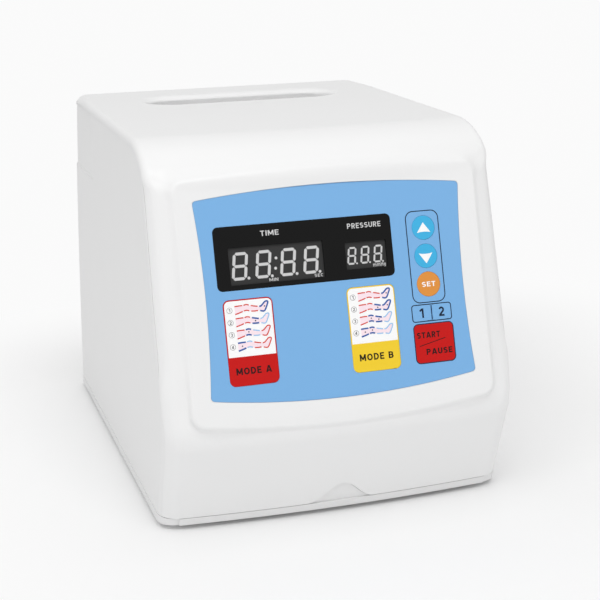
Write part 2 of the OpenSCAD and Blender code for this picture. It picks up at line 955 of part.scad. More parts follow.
module transformer_core()
    color("dimgray")
        translate(transformer_at)
            difference() {
                translate([-28, -14, 0])
                    cube([56, 28, 47]);
                for (side = [-1, 1])
                    translate([side * 14 - 4.8, -20, 9])
                        cube([9.6, 40, 29]);
            }

module transformer_coil()
    color([0.75, 0.45, 0.2])
        translate(transformer_at)
            difference() {
                translate([-18.6, -23, 9.2])
                    cube([37.2, 46, 28.6]);
                translate([-9.3, -14.1, 0])
                    cube([18.6, 28.2, 60]);
                for (side = [-1, 1])
                    translate([side * 23.5 - 4.7, -14.1, 0])
                        cube([9.4, 28.2, 60]);
            }

module transformer_bracket()
    color("silver")
        translate([transformer_at[0], transformer_at[1], floor_z])
            difference() {
                translate([-38, -12, 0])
                    cube([76, 24, transformer_at[2] - floor_z]);
                for (side = [-1, 1])
                    translate([side * 33, 0, -1])
                        cylinder(h = 10, r = 1.8);
            }

// ---- pump: an armature between two coils drives a diaphragm at each end ----

module at_pump()
    translate(pump_at)
        children();

module pump_chassis()
    color("silver")
        at_pump() {
            translate([-32, -62, -34])
                cube([64, 124, 2.5]);
            for (side = [-1, 1])
                difference() {
                    translate([-30, side * (pump_wall_y + 2) - 2, -31.6])
                        cube([60, 4, 60]);
                    rotate([90, 0, 0])
                        cylinder(h = 200, r = 14, center = true);
                }
        }

module pump_cores()
    color("dimgray")
        at_pump()
            for (side = [-1, 1])
                difference() {
                    translate([side * 19 - 9, -24, -20])
                        cube([18, 48, 40]);
                    for (slot = [-1, 1])
                        translate([side * 19 - (side > 0 ? 10 : 4), slot * 12 - 4, -21])
                            cube([14, 8, 42]);
                }

module pump_coils()
    color([0.75, 0.45, 0.2])
        at_pump()
            for (side = [-1, 1])
                difference() {
                    translate([side * 17.5 - 5.5, -15.9, -26])
                        cube([11, 31.8, 52]);
                    translate([side * 17.5 - 8, -8.1, -20.1])
                        cube([16, 16.2, 40.2]);
                    for (slot = [-1, 1])
                        translate([side * 17.5 - 8, slot * 20 - 3.9, -20.1])
                            cube([16, 7.8, 40.2]);
                }

module pump_armature()
    color("ivory")
        at_pump() {
            translate([-5, -30, -9])
                cube([10, 60, 18]);
            for (slot = [-1, 1])
                translate([-7, slot * 12 - 6, -8])
                    cube([14, 12, 16]);
            rotate([90, 0, 0])
                cylinder(h = 2 * head_y + 2, r = 4, center = true);
            for (side = [-1, 1])
                translate([0, side * (head_y - diaphragm_t / 2), 0])
                    rotate([90, 0, 0])
                        cylinder(h = 3, r = 10, center = true);
        }

module pump_diaphragms()
    color("black")
        at_pump()
            for (side = [-1, 1])
                translate([0, side * (head_y - diaphragm_t / 2), 0])
                    rotate([90, 0, 0])
                        difference() {
                            cylinder(h = diaphragm_t, r = diaphragm_r, center = true);
                            cylinder(h = 2 * diaphragm_t, r = 10.4, center = true);
                        }

// cup with a chamber, an outlet spigot on top and an inlet spigot below
module pump_head(side)
    color("ivory")
        at_pump()
            translate([0, side * head_y, 0])
                rotate([-90 * side, 0, 0]) {
                    difference() {
                        cylinder(h = head_len, r = diaphragm_r + 2);
                        translate([0, 0, -1])
                            cylinder(h = head_len - 3, r = 18);
                    }
                    translate([0, -side * (diaphragm_r + 5), 8])
                        rotate([90, 0, 0])
                            cylinder(h = 10, r = spigot_r, center = true);
                }

module front_pump_head() pump_head(-1);
module rear_pump_head() pump_head(1);

module pump_mounts()
    color("dimgray")
        for (x = [-24, 24], y = [-52, 52])
            translate([pump_at[0] + x, pump_at[1] + y, floor_z])
                cylinder(h = pump_at[2] - 34 - floor_z, r = 6);

module intake_filter()
    color("gainsboro")
        translate([pump_at[0], pump_at[1] - head_y - head_len, pump_at[2] - 10])
            rotate([90, 0, 0])
                difference() {
                    cylinder(h = 14, r = 11);
                    translate([0, 0, 3])
                        cylinder(h = 12, r = 8);
                }

// ---- distributor: a geared motor turns a slotted rotor under eight outlets ----

module at_valve(z)
    translate([valve_at[0], valve_at[1], z])
        children();

module valve_motor()
    color("silver")
        at_valve(floor_z)
            difference() {
                cylinder(h = valve_base_z - floor_z, r = 25);
                translate([0, 0, 10])
                    cylinder(h = 40, r = rotor_shaft_r + 0.06);
            }

module valve_base()
    color("ivory")
        difference() {
            union() {
                at_valve(valve_base_z)
                    cylinder(h = valve_cap_z - valve_base_z, r = valve_r);
                for (side = [-1, 1])
                    at_valve(floor_z)
                        translate([side * 30.5 - 4, -5, 0])
                            cube([8, 10, valve_base_z - floor_z + 1]);
            }
            at_valve(valve_base_z + 4)
                cylinder(h = 40, r = valve_r - 4);
            at_valve(0)
                cylinder(h = 60, r = rotor_shaft_r + 0.06);
        }

module valve_rotor()
    color("darkorange")
        at_valve(0)
            difference() {
                union() {
                    translate([0, 0, valve_base_z + 4.3])
                        cylinder(h = valve_cap_z - valve_base_z - 4.6, r = valve_r - 5);
                    translate([0, 0, floor_z + 12])
                        cylinder(h = 30, r = rotor_shaft_r);
                }
                for (turn = [0, 180])
                    rotate(turn)
                        translate([20, 0, valve_base_z])
                            cylinder(h = 40, r = 5);
            }

module valve_cap()
    color("ivory")
        at_valve(valve_cap_z)
            difference() {
                union() {
                    cylinder(h = 4, r = valve_r);
                    for (p = CAP_SPIGOTS)
                        translate([p[0], p[1], 3])
                            cylinder(h = spigot_top - valve_cap_z - 3, r = spigot_r);
                }
                for (p = CAP_SPIGOTS)
                    translate([p[0], p[1], -1])
                        cylinder(h = 8, r = 1.2);
            }

// ---- rear panel and what it carries ----

port_cut = [50, 10];
inlet_cut = [28, 31.4];
switch_cut = [13.4, 20];

module panel_vents()
    for (i = [-4:4])
        translate([i * 6, inlet_v])
            square([2.5, 26], center = true);

module rear_panel()
    color("gainsboro")
        on_rear()
            translate([0, 0, panel_face_w - rear_panel_t])
                linear_extrude(rear_panel_t)
                    difference() {
                        rounded_rect([rear_panel_w, rear_panel_h], 4);
                        for (side = [-1, 1])
                            translate([side * port_u, port_v])
                                square(port_cut, center = true);
                        translate([inlet_u, inlet_v])
                            square(inlet_cut, center = true);
                        translate([switch_u, inlet_v])
                            square(switch_cut, center = true);
                        rear_screw_spots()
                            circle(1.6);
                        panel_vents();
                    }

module rear_panel_screws()
    color("silver")
        on_rear()
            rear_screw_spots()
                translate([0, 0, panel_face_w])
                    rotate([180, 0, 0])
                        screw(2.8, 1.5, 1.4, 5);

// flange, body and four drilled nipples with spigots behind them
module hose_port(side)
    color("ivory")
        on_rear(side * port_u, port_v)
            difference() {
                union() {
                    translate([0, 0, panel_face_w])
                        linear_extrude(2.5)
                            rounded_rect([56, 18], 4);
                    translate([-port_cut[0] / 2 + 0.2, -port_cut[1] / 2 + 0.2, -6])
                        cube([port_cut[0] - 0.4, port_cut[1] - 0.4, 5.5]);
                    for (i = [-1.5:1.5])
                        translate([i * nipple_pitch, 0, 0]) {
                            translate([0, 0, 1])
                                cylinder(h = nipple_len + 0.5, r = nipple_r);
                            translate([0, 0, -14])
                                cylinder(h = 9, r = spigot_r);
                        }
                }
                for (i = [-1.5:1.5])
                    translate([i * nipple_pitch, 0, -12])
                        cylinder(h = 40, r = 1.6);
            }

module left_hose_port() hose_port(1);
module right_hose_port() hose_port(-1);

module chamfered_mouth(size, cut)
    polygon([[-size[0] / 2, -size[1] / 2], [size[0] / 2, -size[1] / 2], [size[0] / 2, size[1] / 2 - cut],
        [size[0] / 2 - cut, size[1] / 2], [cut - size[0] / 2, size[1] / 2],
        [-size[0] / 2, size[1] / 2 - cut]]);

module power_inlet()
    color([0.12, 0.12, 0.12])
        on_rear(inlet_u, inlet_v)
            difference() {
                union() {
                    translate([0, 0, panel_face_w])
                        linear_extrude(inlet_face - panel_face_w)
                            rounded_rect([33, 36], 3);
                    translate([-inlet_cut[0] / 2 + 0.2, -inlet_cut[1] / 2 + 0.2, -22])
                        cube([inlet_cut[0] - 0.4, inlet_cut[1] - 0.4, 21.5]);
                }
                translate([0, mouth_v, -inlet_depth])
                    linear_extrude(40)
                        chamfered_mouth(mouth_size, 4.5);
                translate([-drawer_size[0] / 2 - 0.2, drawer_v - drawer_size[1] / 2 - 0.2,
                    inlet_face - drawer_size[2] - 0.3])
                    cube([drawer_size[0] + 0.4, drawer_size[1] + 0.4, 40]);
            }

module inlet_pins()
    color("silver")
        on_rear(inlet_u, inlet_v + mouth_v)
            for (p = [[-7, -2], [0, 2], [7, -2]])
                translate([p[0] - 1, p[1] - 2, 0]) {
                    translate([0, 0, -inlet_depth])
                        cube([2, 4, pin_tip + inlet_depth]);
                    translate([0, 0, -30])
                        cube([2, 4, 8]);
                }

module fuse_shape(r, length)
    rotate([0, 90, 0])
        cylinder(h = length, r = r, center = true);

module fuse_drawer()
    color([0.16, 0.16, 0.16])
        on_rear(inlet_u, inlet_v + drawer_v)
            difference() {
                union() {
                    translate([-drawer_size[0] / 2, -drawer_size[1] / 2, inlet_face - drawer_size[2]])
                        cube(drawer_size);
                    translate([-5, drawer_size[1] / 2 - 1.6, inlet_face - 0.5])
                        cube([10, 1.2, 1.9]);
                }
                translate([0, 0, inlet_face - 7])
                    fuse_shape(2.6, 20.4);
                translate([-10.2, -2.6, inlet_face - 20])
                    cube([20.4, 5.2, 13]);
            }

module fuse()
    color("lightgray")
        on_rear(inlet_u, inlet_v + drawer_v)
            translate([0, 0, inlet_face - 7])
                fuse_shape(2.55, 20.2);

module switch_frame()
    color([0.12, 0.12, 0.12])
        on_rear(switch_u, inlet_v)
            difference() {
                union() {
                    translate([0, 0, panel_face_w])
                        linear_extrude(2)
                            rounded_rect([switch_cut[0] + 4, switch_cut[1] + 3], 1.5);
                    translate([-switch_cut[0] / 2 + 0.2, -switch_cut[1] / 2 + 0.2, -18])
                        cube([switch_cut[0] - 0.4, switch_cut[1] - 0.4, 17.5]);
                }
                translate([-5.4, -8.7, -12])
                    cube([10.8, 17.4, 30]);
                translate([0, 0, rocker_axis_w])
                    rotate([0, 90, 0])
                        cylinder(h = 12.2, r = 1.55, center = true);
            }

// rocker with a shallow V face, shown with its upper half raised
module power_rocker()
    color([0.2, 0.2, 0.2])
        on_rear(switch_u, inlet_v)
            translate([0, 0, rocker_axis_w])
                rotate([rocker_tilt, 0, 0]) {
                    rotate([90, 0, 90])
                        linear_extrude(10.4, center = true)
                            polygon([[-7.6, 0.6], [-7.6, 4.6], [0, 3.6], [7.6, 4.6], [7.6, 0.6], [3, -3.5],
                                [-3, -3.5]]);
                    rotate([0, 90, 0])
                        cylinder(h = 12, r = 1.5, center = true);
                }

front_cover();
body_shell();
base_cover();
rear_panel();
control_overlay();
display_window();
display_board();
time_display();
time_segments();
pressure_display();
pressure_segments();
key_switches();
up_key();
down_key();
setting_key();
one_sleeve_key();
two_sleeve_key();
start_pause_key();
mode_a_key();
mode_b_key();
display_board_screws();
ribbon_cable();
main_board();
main_board_parts();
main_board_screws();
pressure_sensor();
transformer_core();
transformer_coil();
transformer_bracket();
pump_chassis();
pump_cores();
pump_coils();
pump_armature();
pump_diaphragms();
front_pump_head();
rear_pump_head();
pump_mounts();
intake_filter();
valve_motor();
valve_base();
valve_rotor();
valve_cap();
supply_tubes();
outlet_tubes();
left_hose_port();
right_hose_port();
power_inlet();
inlet_pins();
fuse_drawer();
fuse();
switch_frame();
power_rocker();
mains_leads();
front_left_foot();
front_right_foot();
rear_left_foot();
rear_right_foot();
casing_screws();
rear_panel_screws();
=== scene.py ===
"""Looks of a table-top compression therapy pump: moulded casing, printed control panel, displays, keys,
mains inlet and hose ports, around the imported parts."""

import math

import bpy
import numpy as np
from mathutils import Matrix, Vector
from mathutils.geometry import delaunay_2d_cdt


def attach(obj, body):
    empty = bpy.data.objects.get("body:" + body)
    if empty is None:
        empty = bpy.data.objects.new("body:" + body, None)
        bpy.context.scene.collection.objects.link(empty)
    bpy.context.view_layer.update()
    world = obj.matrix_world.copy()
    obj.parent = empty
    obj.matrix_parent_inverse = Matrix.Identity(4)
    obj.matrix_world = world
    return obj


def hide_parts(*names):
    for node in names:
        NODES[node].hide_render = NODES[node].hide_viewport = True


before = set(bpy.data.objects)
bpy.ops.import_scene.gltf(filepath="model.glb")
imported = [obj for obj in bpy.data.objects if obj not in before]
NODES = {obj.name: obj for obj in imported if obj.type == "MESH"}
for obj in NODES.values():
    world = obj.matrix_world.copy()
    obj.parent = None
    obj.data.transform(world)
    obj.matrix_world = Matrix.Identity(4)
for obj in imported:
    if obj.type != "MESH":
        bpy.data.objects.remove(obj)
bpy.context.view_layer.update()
MM = 0.001

# ---- figures of the casing, in millimetres, as the parts have them ----
HALF_W, DRAFT, TOP = 97.0, 2.7, 202.0
GAP, PARTING, WALL = 3.0, 7.5, 2.5
BOW_R = 902.0
PANEL_Y, PANEL_Z, PANEL_TILT = -134.4, 99.7, math.radians(15.75)
BEZEL_RISE = 0.6
ROLL_START, ROLL_R, ROLL_TURN = -73.3, 52.0, math.radians(32)
CHIN_FOOT, CHIN_R, CHIN_TILT = -124.6, 25.0, math.radians(21.4)
REAR_FOOT, REAR_LEAN, REAR_Z = 141.7, math.radians(6.3), 62.0
REAR_CORNER_R, REAR_TOP_R = 9.0, 10.0
WRAP, SEAM, STEP = 4.0, 0.3, 0.4
RELIEF_Z, RELIEF_Y, RELIEF_IN = 157.4, 52.7, 0.7
BEZEL_W, BEZEL_TOP, BEZEL_TOP_BOW, BEZEL_BOTTOM, BEZEL_BOTTOM_BOW = 82.2, 88.0, 3.5, -36.0, 6.3
BEZEL_R = 6.0
# how far the bezel's side spreads for each millimetre down, and how deep it goes on spreading
BEZEL_DRAFT, DRAFT_DEPTH = 0.42, 7
# how far the cheeks turn from the panel, and how far under its face they begin
CHEEK_TURN, CHEEK_SINK = math.radians(26), 0.9
# height on the panel between which the cheeks fade out towards the chin, and how deep they fade
CHEEK_FADE_LOW, CHEEK_FADE_HIGH, CHEEK_FADE = -45, 5, 6
# bell-shaped arch in the cover's foot, and the tab in it
ARCH_H, ARCH_HALF, ARCH_X = 11.3, 18.5, 0.8
TAB_SINK, TAB_THICK, TAB_INSET = 1.1, 2.1, 2.2
# film over its recess, key caps and window, as heights over the panel's face
OVERLAY_SINK, RECESS_LOW = 0.6, -2.4
FILM_LOW, FILM_TOP, CAP_LOW, CAP_TOP = -0.6, -0.1, -3.2, -0.05
WINDOW = (-15.525, 47.425, 95.55, 32.55, 2.7)
MODULES = {"time": (-30.95, 43.2, 50.3, 19.05), "pressure": (17.45, 43.25, 22.5, 14.0)}
# name: centre across and up, width, height, corner radius
KEYS = {
    "up": (50.4, 54.6, 12.4, 12.4, 6.2),
    "down": (50.4, 39.7, 12.4, 12.4, 6.2),
    "setting": (50.4, 24.8, 12.8, 12.8, 6.4),
    "one_sleeve": (45.0, 9.8, 10.2, 8.2, 1.2),
    "two_sleeve": (56.2, 9.8, 10.2, 8.2, 1.2),
    "start_pause": (50.7, -6.25, 21.6, 20.0, 2.2),
    "mode_a": (-48.5, 4.55, 25.8, 43.6, 3.0),
    "mode_b": (17.7, 4.7, 26.0, 44.0, 3.0),
}


def facing(angle):
    """Direction in y and z, turned from straight up towards the front."""
    return np.array([-math.sin(angle), math.cos(angle)])


PANEL_N = facing(math.pi / 2 - PANEL_TILT)
PANEL_UP = np.array([math.sin(PANEL_TILT), math.cos(PANEL_TILT)])
PANEL_AT = np.array([PANEL_Y, PANEL_Z])
CHIN_N = facing(math.pi / 2 + CHIN_TILT)
CHIN_AT = np.array([CHIN_FOOT, GAP])
ROLL_C = np.array([ROLL_START, TOP - ROLL_R])
# the nose runs on from the roll and ends flush with the panel, so its radius follows from both
ROLL_SHARE = facing(ROLL_TURN) @ PANEL_N
NOSE_R = (-BEZEL_RISE - (ROLL_C - PANEL_AT) @ PANEL_N - ROLL_R * ROLL_SHARE) / (1 - ROLL_SHARE)
NOSE_C = ROLL_C + (ROLL_R - NOSE_R) * facing(ROLL_TURN)
CHIN_C = np.linalg.solve(
    np.array([PANEL_N, CHIN_N]),
    np.array([PANEL_AT @ PANEL_N - BEZEL_RISE - CHIN_R, CHIN_AT @ CHIN_N - CHIN_R]),
)
CHIN_TOP_V = (CHIN_C + CHIN_R * PANEL_N - PANEL_AT) @ PANEL_UP


# ---- distance functions: negative inside, millimetres ----
def half_at(z):
    """Half the casing's width at a height."""
    return HALF_W - DRAFT * ((z - GAP) / (TOP - GAP)) ** 2


def sag(x):
    """How far the front's bow falls back at x."""
    return BOW_R - np.sqrt(BOW_R**2 - x**2)


def rear_y(z):
    return REAR_FOOT - (z - GAP) * math.tan(REAR_LEAN)


def both(a, b, r):
    """Inside both, the edge between them rounded by r."""
    return np.minimum(-r, np.maximum(a, b)) + np.hypot(np.maximum(a + r, 0), np.maximum(b + r, 0))


def either(a, b, r):
    """Inside either, the corner between them filled by r."""
    return -both(-a, -b, r)


def smooth(x, low, high):
    """0 at low and 1 at high, with a soft start and end."""
    t = np.clip((x - low) / (high - low), 0, 1)
    return t * t * (3 - 2 * t)


def panel_uvw(p):
    """Panel measures: across, up the slope and out of its face."""
    y, z = p[:, 1] - PANEL_Y, p[:, 2] - PANEL_Z
    s, c = math.sin(PANEL_TILT), math.cos(PANEL_TILT)
    return p[:, 0], y * s + z * c, z * s - y * c


def turn_about(centre, y, z):
    return np.arctan2(centre[0] - y, z - centre[1])


def front_distance(p):
    """From the line of top, roll, panel and chin, bowed on plan."""
    y, z = p[:, 1] - sag(p[:, 0]), p[:, 2]
    v = (y - PANEL_Y) * PANEL_UP[0] + (z - PANEL_Z) * PANEL_UP[1]
    return np.select(
        [
            y >= ROLL_START,
            (turn_about(ROLL_C, y, z) <= ROLL_TURN) & (z > ROLL_C[1]),
            (turn_about(NOSE_C, y, z) <= math.pi / 2 - PANEL_TILT) & (z > NOSE_C[1]),
            v >= CHIN_TOP_V,
            (turn_about(CHIN_C, y, z) <= math.pi / 2 + CHIN_TILT) & (y < CHIN_C[0]),
        ],
        [
            z - TOP,
            np.hypot(y - ROLL_C[0], z - ROLL_C[1]) - ROLL_R,
            np.hypot(y - NOSE_C[0], z - NOSE_C[1]) - NOSE_R,
            (y - PANEL_Y) * PANEL_N[0] + (z - PANEL_Z) * PANEL_N[1] + BEZEL_RISE,
            np.hypot(y - CHIN_C[0], z - CHIN_C[1]) - CHIN_R,
        ],
        (y - CHIN_FOOT) * CHIN_N[0] + (z - GAP) * CHIN_N[1],
    )


def edge_radius(z):
    """Rounding between front and side: tight along the top, wider on the cheeks and the chin."""
    return 3.6 + 3.4 * smooth(z, 187, 178) + 4 * smooth(z, 85, 45)


def casing(p, front=None):
    """The casing's outer form without its bezel; rear top corners are rounder than the rest of the edge."""
    front = front_distance(p) if front is None else front
    side = np.abs(p[:, 0]) - half_at(p[:, 2])
    rear = (p[:, 1] - REAR_FOOT) * math.cos(REAR_LEAN) + (p[:, 2] - GAP) * math.sin(REAR_LEAN)
    corner = 4.6 * smooth(p[:, 1], 70, 125) * smooth(p[:, 2], 150, 190)
    body = both(front, side, edge_radius(p[:, 2]) + corner)
    return both(body, rear, REAR_CORNER_R + (REAR_TOP_R - REAR_CORNER_R) * smooth(p[:, 2], 185, 200))


def bezel_distance(u, v):
    across = 1 - (u / BEZEL_W) ** 2
    top = v - BEZEL_TOP - BEZEL_TOP_BOW * across
    bottom = BEZEL_BOTTOM - BEZEL_BOTTOM_BOW * across - v
    return both(both(np.abs(u) - BEZEL_W, top, BEZEL_R), bottom, BEZEL_R)


def cover_form(p):
    """Casing with cheeks that turn away beside the bezel, and the bezel standing on it."""
    u, v, w = panel_uvw(p)
    beside = np.abs(u) - BEZEL_W
    facet = (w + CHEEK_SINK) * math.cos(CHEEK_TURN) + (beside - CHEEK_SINK) * math.sin(CHEEK_TURN)
    faded = CHEEK_FADE * (1 - smooth(v, CHEEK_FADE_LOW, CHEEK_FADE_HIGH))
    ends = np.maximum(v - BEZEL_TOP + 4 - 0.5 * beside, BEZEL_BOTTOM - 4 - v)
    wing = both(np.maximum(facet + faded, w + CHEEK_SINK), ends, 5)
    front = both(either(front_distance(p), wing, 4), facet - faded, 3)
    pad = both(w, bezel_distance(u, v) + BEZEL_DRAFT * np.maximum(w, -DRAFT_DEPTH), 1.6)
    corner = 1.2 + 5.0 * smooth(v, BEZEL_TOP - 10, BEZEL_TOP)
    return either(casing(p, front), pad, corner)


def shell_form(p):
    """Side and rear shell: a step inside the cover, and a further step in the upper rear."""
    inset = smooth(p[:, 2], RELIEF_Z - 0.4, RELIEF_Z + 0.4) * smooth(p[:, 1], RELIEF_Y - 2, RELIEF_Y + 7)
    return casing(p) + STEP + RELIEF_IN * inset


def gradient(form, p, h=0.02):
    """How the form's distance changes with x, y and z."""
    g = np.empty_like(p)
    for k in range(3):
        step = np.zeros(3)
        step[k] = h
        g[:, k] = (form(p + step) - form(p - step)) / (2 * h)
    return g


def drop_on(form, p, way, level, reach=9.0):
    """Moves the points along their own direction onto the form's surface, searching by halves."""
    out, into = p + way * reach, p - way * reach
    for _ in range(26):
        mid = (out + into) / 2
        beyond = (form(mid) > level)[:, None]
        out, into = np.where(beyond, mid, out), np.where(beyond, into, mid)
    return (out + into) / 2


def settle(form, p, level, way, hold, rounds=9):
    """Moves the points onto the form's surface, and gives the surface's normals there.

    A point goes straight along its way if it has one.
    Its height stays where hold is 1 and is free where it is 0."""
    free = np.ones_like(p)
    free[:, 2] = 1 - hold
    straight = np.abs(way).sum(1) > 0
    p = p.copy()
    p[straight] = drop_on(form, p[straight], way[straight], level)
    for _ in range(rounds):
        g = gradient(form, p)
        p = p - ((form(p) - level) / np.maximum((g * g * free).sum(1), 0.05))[:, None] * g * free
    g = gradient(form, p)
    return p, g / np.linalg.norm(g, axis=1)[:, None]


# ---- meshes ----
def new_object(name, points, faces, material, normals):
    mesh = bpy.data.meshes.new(name)
    mesh.from_pydata((np.asarray(points) * MM).tolist(), [], faces)
    mesh.validate()
    mesh.polygons.foreach_set("use_smooth", [True] * len(mesh.polygons))
    mesh.normals_split_custom_set_from_vertices(normals)
    mesh.materials.append(material)
    obj = bpy.data.objects.new(name, mesh)
    bpy.context.scene.collection.objects.link(obj)
    return obj


def place_piece(obj, body, slot_name, *nodes):
    """Hangs a piece on the body it rides on and hides the CAD nodes it stands for; slot_name is not used."""
    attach(obj, body)
    if nodes:
        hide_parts(*nodes)


def triangulate(points, loops, keep):
    """Delaunay triangles of the points, with the closed loops kept as edges.

    keep(centres) says which triangles stay."""
    points = [tuple(p) for p in points]
    edges = []
    for loop in loops:
        start = len(points)
        points += [tuple(p) for p in loop]
        edges += [(start + i, start + (i + 1) % len(loop)) for i in range(len(loop))]
    out, _, faces, _, _, _ = delaunay_2d_cdt([Vector(p) for p in points], edges, [], 0, 1e-5)
    flat = np.array([tuple(p) for p in out])
    faces = np.array([f for f in faces if len(f) == 3])
    faces = faces[keep(flat[faces].mean(1))]
    used, index = np.unique(faces, return_inverse=True)
    return flat[used], index.reshape(-1, 3)


def inside_loop(q, loop):
    odd = np.zeros(len(q), bool)
    near = np.flatnonzero((q >= loop.min(0)).all(1) & (q <= loop.max(0)).all(1))
    x, y = q[near, 0], q[near, 1]
    hit = np.zeros(len(near), bool)
    for a, b in zip(loop, np.roll(loop, -1, axis=0)):
        if a[1] != b[1]:
            hit ^= ((a[1] > y) != (b[1] > y)) & (x < (b[0] - a[0]) * (y - a[1]) / (b[1] - a[1]) + a[0])
    odd[near] = hit
    return odd


def clear_of(q, loop, gap):
    """Which points keep the gap from the closed line."""
    ok = np.ones(len(q), bool)
    order = np.argsort(q[:, 1])
    ys = q[order, 1]
    for a, b in zip(loop, np.roll(loop, -1, axis=0)):
        first, last = np.searchsorted(ys, (min(a[1], b[1]) - gap, max(a[1], b[1]) + gap))
        near = order[first:last]
        near = near[(q[near, 0] > min(a[0], b[0]) - gap) & (q[near, 0] < max(a[0], b[0]) + gap)]
        if len(near):
            d = b - a
            t = np.clip(((q[near] - a) @ d) / max(d @ d, 1e-12), 0, 1)
            ok[near] &= np.linalg.norm(q[near] - a - t[:, None] * d, axis=1) > gap
    return ok


def spaced(*stops):
    """Values from the first stop to the last, as (value, spacing after it) pairs."""
    out = [stops[0][0]]
    for (a, step), (b, _) in zip(stops, stops[1:]):
        count = max(1, round((b - a) / step))
        out += [a + (b - a) * (i + 1) / count for i in range(count)]
    return np.array(out)


def staggered(xs, ys):
    """Grid points, every other row shifted half a cell."""
    rows = []
    mid = (xs[1:] + xs[:-1]) / 2
    for i, y in enumerate(ys):
        row = xs if i % 2 == 0 else np.concatenate([[xs[0]], mid, [xs[-1]]])
        rows.append(np.stack([row, np.full(len(row), y)], 1))
    return np.concatenate(rows)


def boundary_edges(faces):
    """Edges that only one triangle has, in its own direction."""
    edges = dict.fromkeys(e for a, b, c in faces.tolist() for e in ((a, b), (b, c), (c, a)))
    return [e for e in edges if (e[1], e[0]) not in edges]


def averaged(points, polys, normals):
    """Fills in the normals that are not set, from the faces round each point."""
    missing = np.isnan(normals[:, 0])
    total = np.zeros_like(points)
    for size in {len(f) for f in polys}:
        f = np.array([q for q in polys if len(q) == size])
        fn = np.zeros((len(f), 3))
        for k in range(1, size - 1):
            fn += np.cross(points[f[:, k]] - points[f[:, 0]], points[f[:, k + 1]] - points[f[:, 0]])
        for k in range(size):
            np.add.at(total, f[:, k], fn)
    total /= np.maximum(np.linalg.norm(total, axis=1), 1e-12)[:, None]
    normals[missing] = total[missing]
    return normals


def match(flat, loop):
    """Indices of the loop's points among the flat ones."""
    return [int(np.argmin(((flat - q) ** 2).sum(1))) for q in loop]


class Solid:
    """Points, faces and normals gathered for one object; a normal of nan is averaged at the end."""

    def __init__(self):
        self.points, self.polys, self.normals, self.count = [], [], [], 0

    def add(self, points, normals=None):
        points = np.asarray(points, float).reshape(-1, 3)
        self.points.append(points)
        self.normals.append(np.full(points.shape, np.nan) if normals is None else normals)
        base = self.count
        self.count += len(points)
        return base

    def done(self, name, material):
        points = np.concatenate(self.points)
        normals = averaged(points, self.polys, np.concatenate(self.normals))
        return new_object(name, points, self.polys, material, normals)


def skin(solid, flat, faces, form, guess, base_form, inner_level, open_loop=None):
    """A moulded wall: outer surface on form, inner one on base_form's level, joined but at open_loop."""
    p0, way, hold = guess(flat)
    top, normals = settle(form, p0, 0.0, way, hold)
    low, low_n = settle(base_form, p0, inner_level, way, hold)
    tri = top[faces]
    out = np.einsum("ij,ij->i", np.cross(tri[:, 1] - tri[:, 0], tri[:, 2] - tri[:, 0]), normals[faces].sum(1))
    faces = np.where((out < 0)[:, None], faces[:, ::-1], faces)
    start = solid.add(top, normals)
    under = solid.add(low, -low_n)
    solid.polys += (faces + start).tolist() + (faces[:, ::-1] + under).tolist()
    skip = set(open_loop or ())
    rim = [e for e in boundary_edges(faces) if not (e[0] in skip and e[1] in skip)]
    a, b = np.array(rim).T
    quad = np.stack([top[b], top[a], low[a], low[b]], 1)
    wall = solid.add(quad)
    solid.polys += [[wall + 4 * i + k for k in range(4)] for i in range(len(a))]
    return start, under


def fill(outline, holes):
    """Flat triangles inside the outline and outside the holes."""
    outline = np.asarray(outline)

    def keep(c):
        ok = inside_loop(c, outline)
        for h in holes:
            ok &= ~inside_loop(c, h)
        return ok

    flat, faces = triangulate([], [outline] + list(holes), keep)
    a, b, c = flat[faces].transpose(1, 2, 0)
    turn = (b[0] - a[0]) * (c[1] - a[1]) - (b[1] - a[1]) * (c[0] - a[0])
    return flat, np.where((turn < 0)[:, None], faces[:, ::-1], faces)


def raise_plate(solid, flat, faces, low, high, place):
    """Flat triangles made into a plate between two heights; place(u, v, w) gives points."""
    n = len(flat)
    up = solid.add(place(flat[:, 0], flat[:, 1], np.full(n, high)))
    down = solid.add(place(flat[:, 0], flat[:, 1], np.full(n, low)))
    solid.polys += (faces + up).tolist() + (faces[:, ::-1] + down).tolist()
    a, b = np.array(boundary_edges(faces)).T
    q = np.stack([flat[b], flat[a], flat[a], flat[b]], 1)
    w = np.broadcast_to(np.array([high, high, low, low]), q.shape[:2])
    wall = solid.add(place(q[..., 0], q[..., 1], w))
    solid.polys += [[wall + 4 * i + k for k in range(4)] for i in range(len(a))]


def add_plate(solid, outline, holes, low, high, place):
    """A plate with holes between two heights."""
    raise_plate(solid, *fill(outline, holes), low, high, place)


def on_panel(u, v, w):
    """Point from panel measures."""
    s, c = math.sin(PANEL_TILT), math.cos(PANEL_TILT)
    return np.stack([u + 0 * v, PANEL_Y + v * s - w * c, PANEL_Z + v * c + w * s], -1)


def on_rear(u, v, w):
    """Point from measures on the rear wall: to its right as seen from behind, up and out."""
    s, c = math.sin(REAR_LEAN), math.cos(REAR_LEAN)
    return np.stack([-u + 0 * v, rear_y(REAR_Z) - v * s + w * c, REAR_Z + v * c + w * s], -1)


